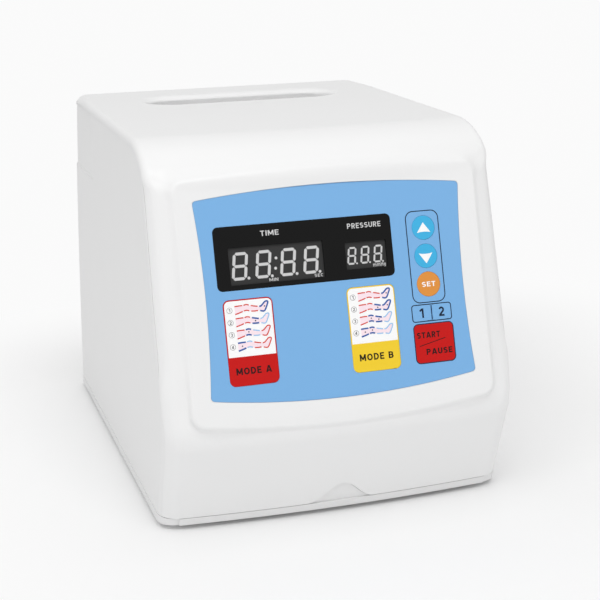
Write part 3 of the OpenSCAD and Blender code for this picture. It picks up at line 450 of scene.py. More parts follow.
# ---- materials ----
def shader(name, color, rough=0.4, bump=0.0, bump_scale=900.0, vary=0.02, rough_vary=0.05, **sockets):
    """Moulded or printed finish: a little mottling of colour and gloss, and a fine texture in the surface."""
    mat = bpy.data.materials.new(name)
    mat.use_nodes = True
    tree = mat.node_tree
    bsdf = tree.nodes["Principled BSDF"]
    for key, value in sockets.items():
        bsdf.inputs[key.replace("_", " ")].default_value = value
    coords = tree.nodes.new("ShaderNodeTexCoord")

    def noise(scale, detail):
        node = tree.nodes.new("ShaderNodeTexNoise")
        node.inputs["Scale"].default_value = scale
        node.inputs["Detail"].default_value = detail
        tree.links.new(coords.outputs["Object"], node.inputs["Vector"])
        return node.outputs["Fac"]

    def span(fac, low, high):
        node = tree.nodes.new("ShaderNodeMapRange")
        node.inputs["To Min"].default_value = low
        node.inputs["To Max"].default_value = high
        tree.links.new(fac, node.inputs["Value"])
        return node.outputs["Result"]

    mix = tree.nodes.new("ShaderNodeMix")
    mix.data_type = "RGBA"
    tree.links.new(noise(28.0, 3.0), mix.inputs["Factor"])
    mix.inputs["A"].default_value = [c * (1 - vary) for c in color] + [1]
    mix.inputs["B"].default_value = [min(1, c * (1 + vary)) for c in color] + [1]
    tree.links.new(mix.outputs["Result"], bsdf.inputs["Base Color"])
    tree.links.new(span(noise(60.0, 4.0), rough - rough_vary, rough + rough_vary), bsdf.inputs["Roughness"])
    if bump:
        node = tree.nodes.new("ShaderNodeBump")
        node.inputs["Strength"].default_value = bump
        node.inputs["Distance"].default_value = 0.0002
        tree.links.new(noise(bump_scale, 2.0), node.inputs["Height"])
        tree.links.new(node.outputs["Normal"], bsdf.inputs["Normal"])
    return mat


def linear(*grey):
    """Display values 0-255 as linear colour."""
    out = [((c / 255 + 0.055) / 1.055) ** 2.4 if c > 10 else c / 255 / 12.92 for c in grey]
    return out * 3 if len(out) == 1 else out


WHITE = shader("cover_white", linear(238), rough=0.34, bump=0.05, vary=0.006, IOR=1.46)
SHELL_WHITE = shader("shell_white", linear(236), rough=0.42, bump=0.12, vary=0.006, IOR=1.46)

# ---- the cover: top, roll, front and chin in one wrapped skin ----
ROLL_STEPS, NOSE_STEPS, CHIN_STEPS, REAR_STEPS = 40, 30, 24, 9


def profile():
    """Side line of the cover from the rear edge over the top and down the front, with arc length."""
    pts = []
    low = TOP - WRAP
    lean = math.radians(90) - REAR_LEAN
    centre = np.array([rear_y(TOP) - REAR_TOP_R * math.tan(lean / 2), TOP - REAR_TOP_R])
    start = math.asin((low - centre[1]) / REAR_TOP_R)
    for a in np.linspace(start, math.pi / 2, REAR_STEPS):
        pts.append(centre + REAR_TOP_R * np.array([math.cos(a), math.sin(a)]))
    pts.append(np.array([ROLL_START, TOP]))
    for a in np.linspace(0, ROLL_TURN, ROLL_STEPS)[1:]:
        pts.append(ROLL_C + ROLL_R * facing(a))
    for a in np.linspace(ROLL_TURN, math.pi / 2 - PANEL_TILT, NOSE_STEPS)[1:]:
        pts.append(NOSE_C + NOSE_R * facing(a))
    for a in np.linspace(math.pi / 2 - PANEL_TILT, math.pi / 2 + CHIN_TILT, CHIN_STEPS):
        pts.append(CHIN_C + CHIN_R * facing(a))
    for z in (PARTING, -12.0):
        pts.append(np.array([CHIN_FOOT - (z - GAP) * math.tan(CHIN_TILT), z]))
    pts = np.array(pts)
    length = np.concatenate([[0], np.cumsum(np.linalg.norm(np.diff(pts, axis=0), axis=1))])
    return length, pts


LINE_S, LINE = profile()
S_END = LINE_S[-2]
# arc length at the panel's reference point, and at the top's rear edge
NOSE_END = REAR_STEPS + ROLL_STEPS + NOSE_STEPS - 2
PANEL_S = LINE_S[NOSE_END] + (LINE[NOSE_END] - PANEL_AT) @ PANEL_UP
TOP_S = LINE_S[REAR_STEPS - 1]
# half the width over which the cover's points drop straight onto the front
STRAIGHT = 86.0


def on_line(s):
    """Point of the side line, in y and z, at an arc length."""
    return np.stack([np.interp(s, LINE_S, LINE[:, 0]), np.interp(s, LINE_S, LINE[:, 1])], 1)


def line_normal(s):
    """Outward normal of the side line, in y and z."""
    d = on_line(np.maximum(s, 0.3) + 0.3) - on_line(np.maximum(s, 0.3) - 0.3)
    d /= np.linalg.norm(d, axis=1)[:, None]
    return np.stack([d[:, 1], -d[:, 0]], 1)


def cover_guess(q):
    """Point for (across, along), and the way it may move: across runs over the front and on down the side."""
    t, s = q[:, 0], q[:, 1]
    at = on_line(s)
    n = line_normal(s)
    half = half_at(at[:, 1])
    x = np.clip(t, -half, half)
    over = np.abs(t) - np.abs(x) + np.where(s > TOP_S + 30, sag(x) * np.abs(n[:, 0]), 0)
    n3 = np.stack([np.zeros(len(t)), n[:, 0], n[:, 1]], 1)
    p = np.stack([x, at[:, 0], at[:, 1]], 1) - n3 * over[:, None]
    hold = smooth(p[:, 2], 16, PARTING + 0.5) + smooth(s, 5, 0.3)
    return p, n3 * ((np.abs(t) < STRAIGHT) & (s > TOP_S + 1) & (hold == 0))[:, None], hold


def bezel_ring(inset):
    """The bezel's outline in panel measures, moved in by inset."""
    half, r = BEZEL_W - inset, BEZEL_R - inset
    us = np.linspace(-half + r, half - r, 120)
    bow = 1 - (us / half) ** 2
    top = BEZEL_TOP - inset + BEZEL_TOP_BOW * bow
    bottom = BEZEL_BOTTOM + inset - BEZEL_BOTTOM_BOW * bow
    low, high = bottom[-1] + r, top[-1] - r
    side = np.linspace(low, high, 90)

    def corner(x, y, start):
        a = start + np.linspace(0, math.pi / 2, 9)[1:-1]
        return np.stack([x + r * np.cos(a), y + r * np.sin(a)], 1)

    return np.concatenate(
        [
            np.stack([us, bottom], 1),
            corner(half - r, low, -math.pi / 2),
            np.stack([np.full(90, half), side], 1),
            corner(half - r, high, 0),
            np.stack([us, top], 1)[::-1],
            corner(-half + r, high, math.pi / 2),
            np.stack([np.full(90, -half), side[::-1]], 1),
            corner(-half + r, low, math.pi),
        ]
    )


OVERLAY_W, OVERLAY_TOP, OVERLAY_TOP_BOW = 72.3, 77.6, 4.1
OVERLAY_BOTTOM, OVERLAY_BOTTOM_BOW, OVERLAY_WAIST = -23.3, 5.6, 2.4
OVERLAY_CORNER = 2.2


def overlay_ring(grow, count=70):
    """The blue overlay's outline: bowed top and bottom, waisted sides, small corners."""
    half, top, bottom = OVERLAY_W + grow, OVERLAY_TOP + grow, OVERLAY_BOTTOM - grow
    sides = (
        ((-half, bottom), (half, bottom), (0, -OVERLAY_BOTTOM_BOW)),
        ((half, bottom), (half, top), (-OVERLAY_WAIST, 0)),
        ((half, top), (-half, top), (0, OVERLAY_TOP_BOW)),
        ((-half, top), (-half, bottom), (OVERLAY_WAIST, 0)),
    )
    runs = []
    for a, b, bow in sides:
        a, b, bow = map(np.array, (a, b, bow))
        cut = OVERLAY_CORNER / np.linalg.norm(b - a)
        runs.append([a * (1 - t) + b * t + bow * 4 * t * (1 - t) for t in np.linspace(cut, 1 - cut, count)])
    out = []
    for run, following in zip(runs, runs[1:] + runs[:1]):
        out += run
        a, b = run[-1], following[0]
        da, db = a - run[-2], b - following[1]
        da, db = da / np.linalg.norm(da), db / np.linalg.norm(db)
        corner = a + da * np.linalg.solve(np.array([da, -db]).T, b - a)[0]
        out += [(1 - t) ** 2 * a + 2 * t * (1 - t) * corner + t * t * b for t in (0.2, 0.4, 0.6, 0.8)]
    return np.array(out)


def to_strip(loop):
    """Panel measures to the cover's (across, along): v runs up, along runs down."""
    loop = np.asarray(loop)
    return np.stack([loop[:, 0], PANEL_S - loop[:, 1]], 1)


GRIP_W, GRIP_D, GRIP_X, GRIP_Y, GRIP_R = 118.0, 36.8, 1, 59.1, 17.9


def rounded_loop(w, d, r, pitch=1.6):
    """Rounded rectangle at even spacing, anticlockwise, with outward directions."""
    hx, hy = w / 2 - r, d / 2 - r
    pts, out = [], []
    for k, (cx, cy) in enumerate(((hx, -hy), (hx, hy), (-hx, hy), (-hx, -hy))):
        n = max(3, round(r * math.pi / 2 / pitch))
        for i in range(n + 1):
            a = (k - 1 + i / n) * math.pi / 2
            e = np.array([math.cos(a), math.sin(a)])
            pts.append(np.array([cx, cy]) + r * e)
            out.append(e)
        run = 2 * hy if k % 2 == 0 else 2 * hx
        m = max(1, round(run / pitch))
        step = np.array([[0, 1], [-1, 0], [0, -1], [1, 0]][k]) * run / m
        last, e = pts[-1], out[-1]
        for i in range(1, m):
            pts.append(last + step * i)
            out.append(e)
    return np.array(pts), np.array(out)


# mouth of the grip recess on plan, with outward directions
MOUTH, MOUTH_OUT = rounded_loop(GRIP_W, GRIP_D, GRIP_R)
MOUTH = MOUTH + [GRIP_X, GRIP_Y]
MOUTH_FRONT = smooth(-MOUTH_OUT[:, 1], 0.2, 0.9)
MOUTH_REAR = smooth(MOUTH_OUT[:, 1], 0.2, 0.9)
# the lip's rounding, outward and down: crisp at the front, broad at the rear
MOUTH_EDGE = 0.9 * MOUTH_FRONT + 6.5 * MOUTH_REAR + 4.0 * (1 - MOUTH_FRONT - MOUTH_REAR)
MOUTH_DROP = 0.9 * MOUTH_FRONT + 2.8 * MOUTH_REAR + 2.6 * (1 - MOUTH_FRONT - MOUTH_REAR)
LIP_STEPS = 10
# rings of the recess and of its underside: depth and reach outward at the front, the ends and the rear
GRIP_RINGS = (
    (3.2, 0.0, 4.5, -0.2, 3.2, 0.2),
    (3.7, 1.2, 6.0, -0.4, 4.6, 1.4),
    (4.0, 7.0, 8.0, -0.6, 6.4, 2.8),
    (5.0, 8.0, 10.0, -0.8, 8.6, 3.9),
    (15.0, 8.0, 15.0, -1.0, 15.0, 5.0),
    (17.2, 7.2, 17.2, -1.8, 17.2, 4.6),
    (18.0, 5.0, 18.0, -4.0, 18.0, 2.4),
)
GRIP_BACK = (
    (2.5, 3.0, 6.0, 2.2, 2.6, 7.2),
    (2.6, 8.8, 9.0, 2.0, 2.9, 9.0),
    (4.0, 10.2, 12.0, 1.8, 4.2, 10.2),
    (16.0, 10.2, 16.0, 1.6, 16.0, 10.2),
    (19.2, 9.4, 19.2, 1.0, 19.2, 9.4),
    (20.2, 6.0, 20.2, -3.0, 20.2, 6.0),
)


def plan_to_strip(loop):
    """Plan measures of the top to the cover's (across, along)."""
    return np.stack([loop[:, 0], TOP_S + (LINE[REAR_STEPS - 1, 0] - loop[:, 1])], 1)


def grip_rings(table):
    """Rings round the recess as (reach outward, height) for each point of its mouth."""
    ends = 1 - MOUTH_FRONT - MOUTH_REAR
    shares = (MOUTH_FRONT, ends, MOUTH_REAR)

    def level(values):
        return sum(value * share for value, share in zip(values, shares))

    return [(level(row[1::2]), TOP - level(row[::2])) for row in table]


def add_grip(solid, rim_top, rim_low):
    """Carries the cover's two skins down round the grip recess: rounded lip, finger spaces, floor."""
    n = len(MOUTH)
    lip = [
        (MOUTH_EDGE * (1 - math.sin(a)), TOP - MOUTH_DROP * (1 - math.cos(a)))
        for a in np.linspace(0, math.pi / 2, LIP_STEPS)[1:]
    ]
    upper, lower = lip + grip_rings(GRIP_RINGS), grip_rings(GRIP_BACK)
    for rim, rings, flip in ((rim_top, upper, False), (rim_low, lower, True)):
        rows = [rim]
        for k, z in rings:
            base = solid.add(np.column_stack([MOUTH + MOUTH_OUT * k[:, None], z]))
            rows.append(list(range(base, base + n)))
        turns = [(i, (i + 1) % n) for i in range(n)]
        faces = [[a[i], a[j], b[j], b[i]] for a, b in zip(rows, rows[1:]) for i, j in turns]
        faces.append(rows[-1])
        solid.polys += [f[::-1] if flip else f for f in faces]


def keep_clear(grid, lines, gap):
    """The grid's points that keep the gap from all lines."""
    ok = np.ones(len(grid), bool)
    for line in lines:
        ok &= clear_of(grid, line, gap)
    return grid[ok]


def key_ring(u, v, w, h, r, grow=0.0):
    """Outline of a key or opening, anticlockwise."""
    if 2 * r >= w:
        a = np.linspace(0, 2 * math.pi, 73)[:-1]
        return np.stack([u + (r + grow) * np.cos(a), v + (r + grow) * np.sin(a)], 1)
    return rounded_loop(w + 2 * grow, h + 2 * grow, max(r + grow, 0.05), 0.5)[0] + [u, v]


def arch_rise(x):
    """Height of the finger arch over the parting line."""
    return ARCH_H * np.cos(math.pi / 2 * np.clip((x - ARCH_X) / ARCH_HALF, -1, 1)) ** 2


def behind_chin(x, z, w):
    """Point w outside the chin's face."""
    x, z, w = np.broadcast_arrays(x, z, w)
    y = CHIN_FOOT + sag(x) + (w - (z - GAP) * CHIN_N[1]) / CHIN_N[0]
    return np.stack([x, y, z], -1)


def build_tab():
    """The base's low tab that fills the finger arch, a step behind the cover's face."""
    xs = ARCH_X + np.linspace(TAB_INSET - ARCH_HALF, ARCH_HALF - TAB_INSET, 61)
    foot = [[xs[0], PARTING - 0.6], [xs[-1], PARTING - 0.6]]
    crest = np.stack([xs, PARTING + arch_rise(xs) - 0.1], 1)[::-1]
    tab = Solid()
    add_plate(tab, np.concatenate([foot, crest]), [], -TAB_SINK - TAB_THICK, -TAB_SINK, behind_chin)
    return tab.done("finger_tab", SHELL_WHITE)


def foot_end(t):
    """Where the cover's strip ends, a seam above the parting line and over the arch."""
    half = half_at(PARTING)
    over = np.maximum(np.abs(t) - half, 0) + sag(np.clip(t, -half, half)) * math.cos(CHIN_TILT)
    return S_END + over * math.tan(CHIN_TILT) - (arch_rise(t) + SEAM) / math.cos(CHIN_TILT)


def build_cover():
    """Cover with the bezel, the overlay's recess and its pierced floor, and the grip recess."""
    bezel_lines = [to_strip(bezel_ring(k)) for k in (-3.4, -2.6, -1.8, -1.2, -0.6, 0.0, 0.5, 1.0, 1.6)]
    opening = to_strip(overlay_ring(0.15))
    mouth = plan_to_strip(MOUTH + MOUTH_OUT * MOUTH_EDGE[:, None])
    edge = HALF_W + WRAP
    xs = spaced((-edge, 0.5), (-85, 1.2), (-78, 3.0), (-24, 1.5), (24, 3.0), (78, 1.2), (85, 0.5), (edge, 1))
    ys = spaced(
        (0, 0.7), (TOP_S, 1.5), (TOP_S + 20, 4.0), (TOP_S + 190, 2.0), (TOP_S + 215, 1.3),
        (PANEL_S - 70, 2.5), (PANEL_S + 20, 1.3), (S_END - 20, 0.9), (S_END - 3, 0.6), (S_END + 4.5, 1),
    )
    grid = staggered(xs, ys)
    grid[:, 0] *= (half_at(on_line(grid[:, 1])[:, 1]) + WRAP) / edge
    foot_x = half_at(PARTING)
    foot = np.linspace(foot_x + WRAP, -foot_x - WRAP, 300)[1:-1]
    foot = np.stack([foot, foot_end(foot)], 1)
    border_s = spaced((0, 0.8), (foot_end(np.array([foot_x + WRAP]))[0], 1))
    right = np.stack([half_at(on_line(border_s)[:, 1]) + WRAP, border_s], 1)
    left = (right * [-1, 1])[::-1]
    back = np.linspace(left[-1, 0], right[0, 0], 300)[1:-1]
    border = np.concatenate([right, foot, left, np.stack([back, np.zeros(298)], 1)])
    lines = [border, opening, mouth] + bezel_lines

    def keep(c):
        return inside_loop(c, border) & ~inside_loop(c, opening) & ~inside_loop(c, mouth)

    grid = keep_clear(grid[keep(grid)], lines, 0.35)
    flat, faces = triangulate(grid, lines, keep)
    solid = Solid()
    at_mouth = match(flat, mouth)
    start, under = skin(solid, flat, faces, cover_form, cover_guess, casing, -WALL, at_mouth)
    add_grip(solid, [i + start for i in at_mouth], [i + under for i in at_mouth])
    holes = [key_ring(*k, 0.3) for k in KEYS.values()] + [key_ring(*WINDOW, 0.1)]
    add_plate(solid, overlay_ring(0.5), holes, RECESS_LOW, -OVERLAY_SINK, on_panel)
    return solid.done("cover_moulding", WHITE)


PANEL_HOLE = rounded_loop(150.6, 92.6, 4.3)[0]
# ledge and rim round the rear panel: outline, and heights over the rear wall
LEDGE, LEDGE_TOP = rounded_loop(156, 98, 5)[0], -1.5
RIM, RIM_HOLE, RIM_TOP = rounded_loop(152, 94, 5)[0], rounded_loop(138, 80, 3)[0], -3.02
LEDGE_LOW = -6
VENT_PITCH, VENT_ROW_PITCH, VENT_LOW = 6.0, 17, 128.0
VENTS = [(VENT_PITCH * i, VENT_LOW + VENT_ROW_PITCH * row) for row in range(3) for i in range(-9, 10)]
# how far the fine rows of points beside the shell's front edge lie from it
FRINGE = (0.5, 1.2, 2.2, 3.5, 5.5, 8)


def seam_line(depth):
    """Side view of the seam beside the cover's wrapped edge, from the top down."""
    s = spaced((TOP_S + 195, 1.0), (S_END + 12, 1))
    at, n = on_line(s), line_normal(s)
    over = depth + sag(half_at(at[:, 1])) * np.abs(n[:, 0])
    return at - n * over[:, None]


def shell_guess(q):
    """Point for (around, height): around is 0 mid-rear and runs over the corners to the front."""
    a, z = q[:, 0], q[:, 1]
    x = -np.clip(a, -HALF_W, HALF_W)
    beyond = np.abs(a) > HALF_W
    x = np.where(beyond, -np.sign(a) * half_at(z), x)
    y = rear_y(z) - np.maximum(np.abs(a) - HALF_W, 0)
    hold = smooth(z, 16, PARTING + 0.5) + smooth(z, TOP - 9, TOP - WRAP - 1)
    return np.stack([x, y, z], 1), np.zeros((len(q), 3)), hold


def build_shell():
    """Side and rear shell with its vents, and the ledge round the rear panel."""
    seam = seam_line(WRAP + SEAM)
    top_z = TOP - WRAP - SEAM
    seam[:, 1] = np.minimum(seam[:, 1], top_z)
    foot = np.interp(-PARTING, -seam[:, 1], seam[:, 0])
    seam = seam[seam[:, 1] > PARTING + 0.3]
    front = np.stack([HALF_W + rear_y(seam[:, 1]) - seam[:, 0], seam[:, 1]], 1)
    end = HALF_W + rear_y(PARTING) - foot

    def level_line(around, z):
        return np.stack([around, np.full(len(around), z)], 1)

    bottom = level_line(spaced((-end, 1.5), (end, 1)), PARTING)
    roof = level_line(spaced((-front[0, 0], 1.0), (front[0, 0], 1))[1:-1][::-1], top_z)
    border = np.concatenate([bottom, front[::-1], roof, front * [-1, 1]])
    panel = PANEL_HOLE * [1, math.cos(REAR_LEAN)] + [0, REAR_Z]
    vents = [rounded_loop(2.5, 12, 0.8, 1.0)[0] + v for v in VENTS]
    near, far = HALF_W - 12, HALF_W + 12
    around = spaced((-330, 4.0), (-far, 0.8), (-near, 3.0), (near, 0.8), (far, 4.0), (330, 1))
    zs = spaced((PARTING, 2.0), (60, 4.0), (150, 1.2), (156.4, 0.22), (158.4, 1.2), (184, 0.8), (top_z, 1))
    grid = staggered(around, zs)
    grid = grid[inside_loop(grid, border) & ~inside_loop(grid, panel)]
    fringe = [np.stack([front[:, 0] - k, front[:, 1]], 1) for k in FRINGE]
    fringe += [f * [-1, 1] for f in fringe]
    fringe = [f[inside_loop(f, border)] for f in fringe]
    lines = [border, panel] + vents
    grid = keep_clear(grid, lines + fringe, 0.3)
    fringe = keep_clear(np.concatenate(fringe), [border], 0.3)

    def keep(c):
        ok = inside_loop(c, border) & ~inside_loop(c, panel)
        for v in vents:
            ok &= ~inside_loop(c, v)
        return ok

    flat, faces = triangulate(np.concatenate([grid, fringe]), lines, keep)
    solid = Solid()
    skin(solid, flat, faces, shell_form, shell_guess, casing, -WALL - STEP)
    add_plate(solid, LEDGE, [PANEL_HOLE], LEDGE_LOW, LEDGE_TOP, on_rear)
    add_plate(solid, RIM, [RIM_HOLE], LEDGE_LOW, RIM_TOP, on_rear)
    return solid.done("shell_moulding", SHELL_WHITE)


place_piece(build_cover(), "casing", "white_abs", "front_cover")
place_piece(build_shell(), "casing", "white_abs", "body_shell")
place_piece(build_tab(), "casing", "white_abs")


# ---- control panel: film, window, keys and print, in panel measures ----
def curve_through(points, steps=6):
    """Smooth line through the points."""
    p = np.array([points[0]] + list(points) + [points[-1]], float)
    out = []
    for i in range(1, len(p) - 2):
        a, b, c, d = p[i - 1 : i + 3]
        square, cube = 2 * a - 5 * b + 4 * c - d, 3 * b - a - 3 * c + d
        out += [0.5 * (2 * b + (c - a) * t + square * t**2 + cube * t**3) for t in np.arange(steps) / steps]
    return np.array(out + [p[-2]])


def ribbon(line, width):
    """Outline of a stroke of even width along an open line."""
    line = np.asarray(line, float)
    d = np.gradient(line, axis=0)
    n = np.stack([-d[:, 1], d[:, 0]], 1) / np.linalg.norm(d, axis=1)[:, None] * width / 2
    return np.concatenate([line - n, (line + n)[::-1]])


def add_frame(solid, outline, width, low, high):
    """A line of even width round a key-like outline."""
    add_plate(solid, key_ring(*outline, width / 2), [key_ring(*outline, -width / 2)], low, high, on_panel)


def arc(cx, cy, rx, ry, start, end, count=16):
    """Points of an arc between two angles in degrees."""
    a = np.radians(np.linspace(start, end, count))
    return np.stack([cx + rx * np.cos(a), cy + ry * np.sin(a)], 1)


def glyph(name, t):
    """Strokes of a plain capital or figure one unit high, and its width; t is the stroke's width."""
    h, top, mid = t / 2, 1 - t / 2, 0.51
    bowl, cup = (top - mid) / 2, (mid - h) / 2

    def stem(x):
        return [(x, 0), (x, 1)]

    def bar(y, start, end):
        return [(start, y), (end, y)]

    def bulge(w, high, low):
        r = (high - low) / 2
        return [(h, high), *arc(w - h - r, (high + low) / 2, r, r, 90, -90), (h, low)]

    def oval(w, start, end, count):
        return arc(w / 2, 0.5, w / 2 - h, 0.5 - h, start, end, count)

    def both_bowls(w, x, start, end):
        return arc(x, mid + bowl, w / 2 - h, bowl, start, end)

    def hook(w):
        return arc(w / 2, h + cup, w / 2 - h, cup, 90, -150)

    def m_arches(w, x):
        r = (w / 2 - h) / 2
        return [[*arc(c, x - h - r, r, r, 170, 0), (c + r, 0)] for c in (h + r, w / 2 + r)]

    shapes = {
        " ": (0.3, lambda w: []),
        "A": (0.78, lambda w: [
            [(h - 0.04, -0.1), (w / 2, 1.05)], [(w - h + 0.04, -0.1), (w / 2, 1.05)], bar(0.27, 0.2, w - 0.2)
        ]),
        "B": (0.68, lambda w: [stem(h), bulge(w - 0.04, top, mid), bulge(w, mid, h)]),
        "C": (0.7, lambda w: [oval(w, 42, 318, 30)]),
        "D": (0.7, lambda w: [stem(h), [(h, top), *arc(w - h - 0.32, 0.5, 0.32, 0.5 - h, 90, -90), (h, h)]]),
        "E": (0.58, lambda w: [stem(h), bar(top, h, w), bar(mid, h, w - 0.05), bar(h, h, w)]),
        "H": (0.68, lambda w: [stem(h), stem(w - h), bar(mid, h, w - h)]),
        "I": (t, lambda w: [stem(h)]),
        "M": (0.86, lambda w: [
            stem(h), stem(w - h), [(h - 0.03, 1.05), (w / 2, 0.2)], [(w - h + 0.03, 1.05), (w / 2, 0.2)]
        ]),
        "N": (0.72, lambda w: [stem(h), stem(w - h), [(h - 0.02, 1.05), (w - h + 0.02, -0.05)]]),
        "O": (0.78, lambda w: [oval(w, 0, 360, 41)]),
        "P": (0.66, lambda w: [stem(h), bulge(w - 0.02, top, mid - 0.05)]),
        "R": (0.66, lambda w: [
            stem(h), bulge(w - 0.02, top, mid - 0.05), [(0.3, mid + 0.05), (w - h, -0.08)]
        ]),
        "S": (0.64, lambda w: [np.concatenate([both_bowls(w, w / 2, 30, 270), hook(w)[1:]])]),
        "T": (0.64, lambda w: [stem(w / 2), bar(top, 0, w)]),
        "U": (0.68, lambda w: [[(h, 1), *arc(w / 2, w / 2, w / 2 - h, w / 2 - h, 180, 360), (w - h, 1)]]),
        "m": (1.0, lambda w: [[(h, 0), (h, 0.72)]] + m_arches(w, 0.72)),
        "g": (0.6, lambda w: [
            arc(w / 2, 0.36, w / 2 - h, 0.36 - h, 0, 360, 31),
            [(w - h, 0.72), *arc(w / 2, -0.02, w / 2 - h, 0.2, 0, -155)],
        ]),
        "1": (0.36 + h, lambda w: [stem(0.36), [(0.4, 1.0), (0.02, 0.72)]]),
        "2": (0.62, lambda w: [
            [*arc(w / 2, top - 0.23, w / 2 - h, 0.23, 165, -35), (h, h + 0.03)], bar(h, 0.02, w)
        ]),
        "3": (0.62, lambda w: [both_bowls(w, w / 2 - 0.02, 150, -90), hook(w)]),
        "4": (0.66, lambda w: [stem(w - 0.2), bar(0.27, 0, w), [(w - 0.2, 1.04), (0.04, 0.2)]]),
    }
    width, strokes = shapes[name]
    return strokes(width), width


# space between letters, and how far a tail hangs, for letters one unit high
LETTER_GAP, TAIL = 0.17, -0.32


def add_letters(solid, words, u, v, height, low, high, weight=0.17, width=None):
    """Plain capitals or figures centred on a point of the panel, in even strokes."""
    glyphs = [glyph(c, weight) for c in words]
    total = sum(w for _, w in glyphs) + LETTER_GAP * (len(words) - 1)
    scale = np.array([height if width is None else width / total, height])
    x = -total / 2
    for name, (strokes, w) in zip(words, glyphs):
        if strokes:
            foot = TAIL if name == "g" else 0
            loops = [ribbon(line, weight) for line in strokes]
            sheet = np.array([(0, foot), (w, foot), (w, 1), (0, 1)])

            def keep(c):
                return inside_loop(c, sheet) & np.any([inside_loop(c, loop) for loop in loops], axis=0)

            flat, faces = triangulate([], loops + [sheet], keep)
            raise_plate(solid, (flat + [x, -0.5]) * scale + [u, v], faces, low, high, on_panel)
        x += w + LETTER_GAP


# a cap's rings: growth over the key's outline, and height from the cap's top
CAP_RINGS = ((0.17, CAP_LOW - CAP_TOP), (0.17, -0.22), (0.13, -0.08), (0.03, -0.01), (-0.12, 0))


def add_cap(solid, key):
    """A key: a slab with a rounded upper edge."""
    rings = [(grow, CAP_TOP + w) for grow, w in CAP_RINGS]
    loops = [key_ring(*key, grow) for grow, _ in rings]
    starts = [solid.add(on_panel(l[:, 0], l[:, 1], np.full(len(l), w))) for l, (_, w) in zip(loops, rings)]
    n = len(loops[0])
    for a, b in zip(starts, starts[1:]):
        solid.polys += [[a + i, a + (i + 1) % n, b + (i + 1) % n, b + i] for i in range(n)]
    for k, turn in ((0, -1), (-1, 1)):
        flat, faces = fill(loops[k], [])
        up = solid.add(on_panel(flat[:, 0], flat[:, 1], np.full(len(flat), rings[k][1])))
        solid.polys += (faces[:, ::turn] + up).tolist()


def print_ink(name, *color, rough=0.38, vary=0.02):
    """Screen print."""
    return shader("print_" + name, linear(*color), rough=rough, vary=vary, bump=0.03, Specular_IOR_Level=0.25)


INKS = {
    "white": (print_ink("white", 250, rough=0.35, vary=0.004), "segment_white"),
    "caption": (print_ink("pale_grey", 208, rough=0.4, vary=0.01), "segment_white"),
    "dark": (print_ink("navy", 22, 36, 58), "black_matte"),
    "maroon": (print_ink("maroon", 40, 10, 13), "black_matte"),
    "brown": (print_ink("brown", 34, 28, 14), "black_matte"),
    "grey": (print_ink("mid_grey", 96, rough=0.4), "module_grey"),
    "red": (print_ink("red", 214, 60, 40), "key_red"),
    "blue": (print_ink("blue", 48, 92, 164), "key_blue"),
    "sky": (print_ink("sky", 152, 196, 234), "key_blue"),
    "pink": (print_ink("pink", 250, 228, 236, vary=0.01), "segment_white"),
}
prints = {}


def ink(body, color):
    """The solid that gathers one colour of print on one body."""
    return prints.setdefault((body, color), Solid())


# a leg in side view, from the thigh's end to the toes
LEG_TOP = [(0, 2.0), (2.4, 2.15), (4.4, 2.2), (6.2, 2.5), (8.2, 1.9), (10.5, 1.35), (12.6, 0.95)]
LEG_LOW = [(0, -2.0), (2.4, -1.35), (4.4, -0.7), (6.2, -0.4), (8.2, -0.95), (10.5, -1.15), (12.6, -1.0)]
FOOT = [
    (12.6, 0.95), (13.8, 1.1), (15.0, 2.1), (16.1, 3.15), (17.3, 3.3),
    (17.6, 2.6), (16.8, 0.7), (15.9, -1.0), (14.9, -1.6), (12.6, -1.0),
]
CHAMBERS = ((0, 4.1), (4.7, 7.7), (8.3, 12.3))
MIDDLES = ((2.2, 0.3), (6.2, 1.0), (10.3, 0.1), (15.7, 0.9))
STROKE, BLUE_STROKE = 0.58, 0.78


def add_leg(body, u, v, colors, base):
    """A leg in four sleeve chambers; the dots mark the filled ones."""
    at = np.array([u, v])
    top, low, foot = curve_through(LEG_TOP), curve_through(LEG_LOW), curve_through(FOOT)
    outline = np.concatenate([low, foot[::-1][1:-1], top[::-1]])
    add_plate(ink(body, "pink"), outline + at, [], base, base + 0.05, on_panel)

    def within(line, start, end):
        return line[(line[:, 0] >= start) & (line[:, 0] <= end)]

    runs = [[within(line, *chamber) for line in (top, low)] for chamber in CHAMBERS]
    for color, lines in zip(colors, runs + [[foot[2:-2]]]):
        for line in lines:
            outline = ribbon(line + at, BLUE_STROKE if color == "blue" else STROKE)
            add_plate(ink(body, color), outline, [], base, base + 0.09, on_panel)
    for (x, y), color in zip(MIDDLES, colors):
        if color == "blue":
            dot = key_ring(u + x, v + y, 0.7, 0.7, 0.35)
            add_plate(ink(body, "dark"), dot, [], base, base + 0.09, on_panel)


# white field of a mode tile: its foot, its distance from the cap's edge, and its four rows of legs
TILE_FOOT, TILE_INSET, LEG_FIRST, LEG_PITCH = -2.55, 0.45, 4.6, 6.2


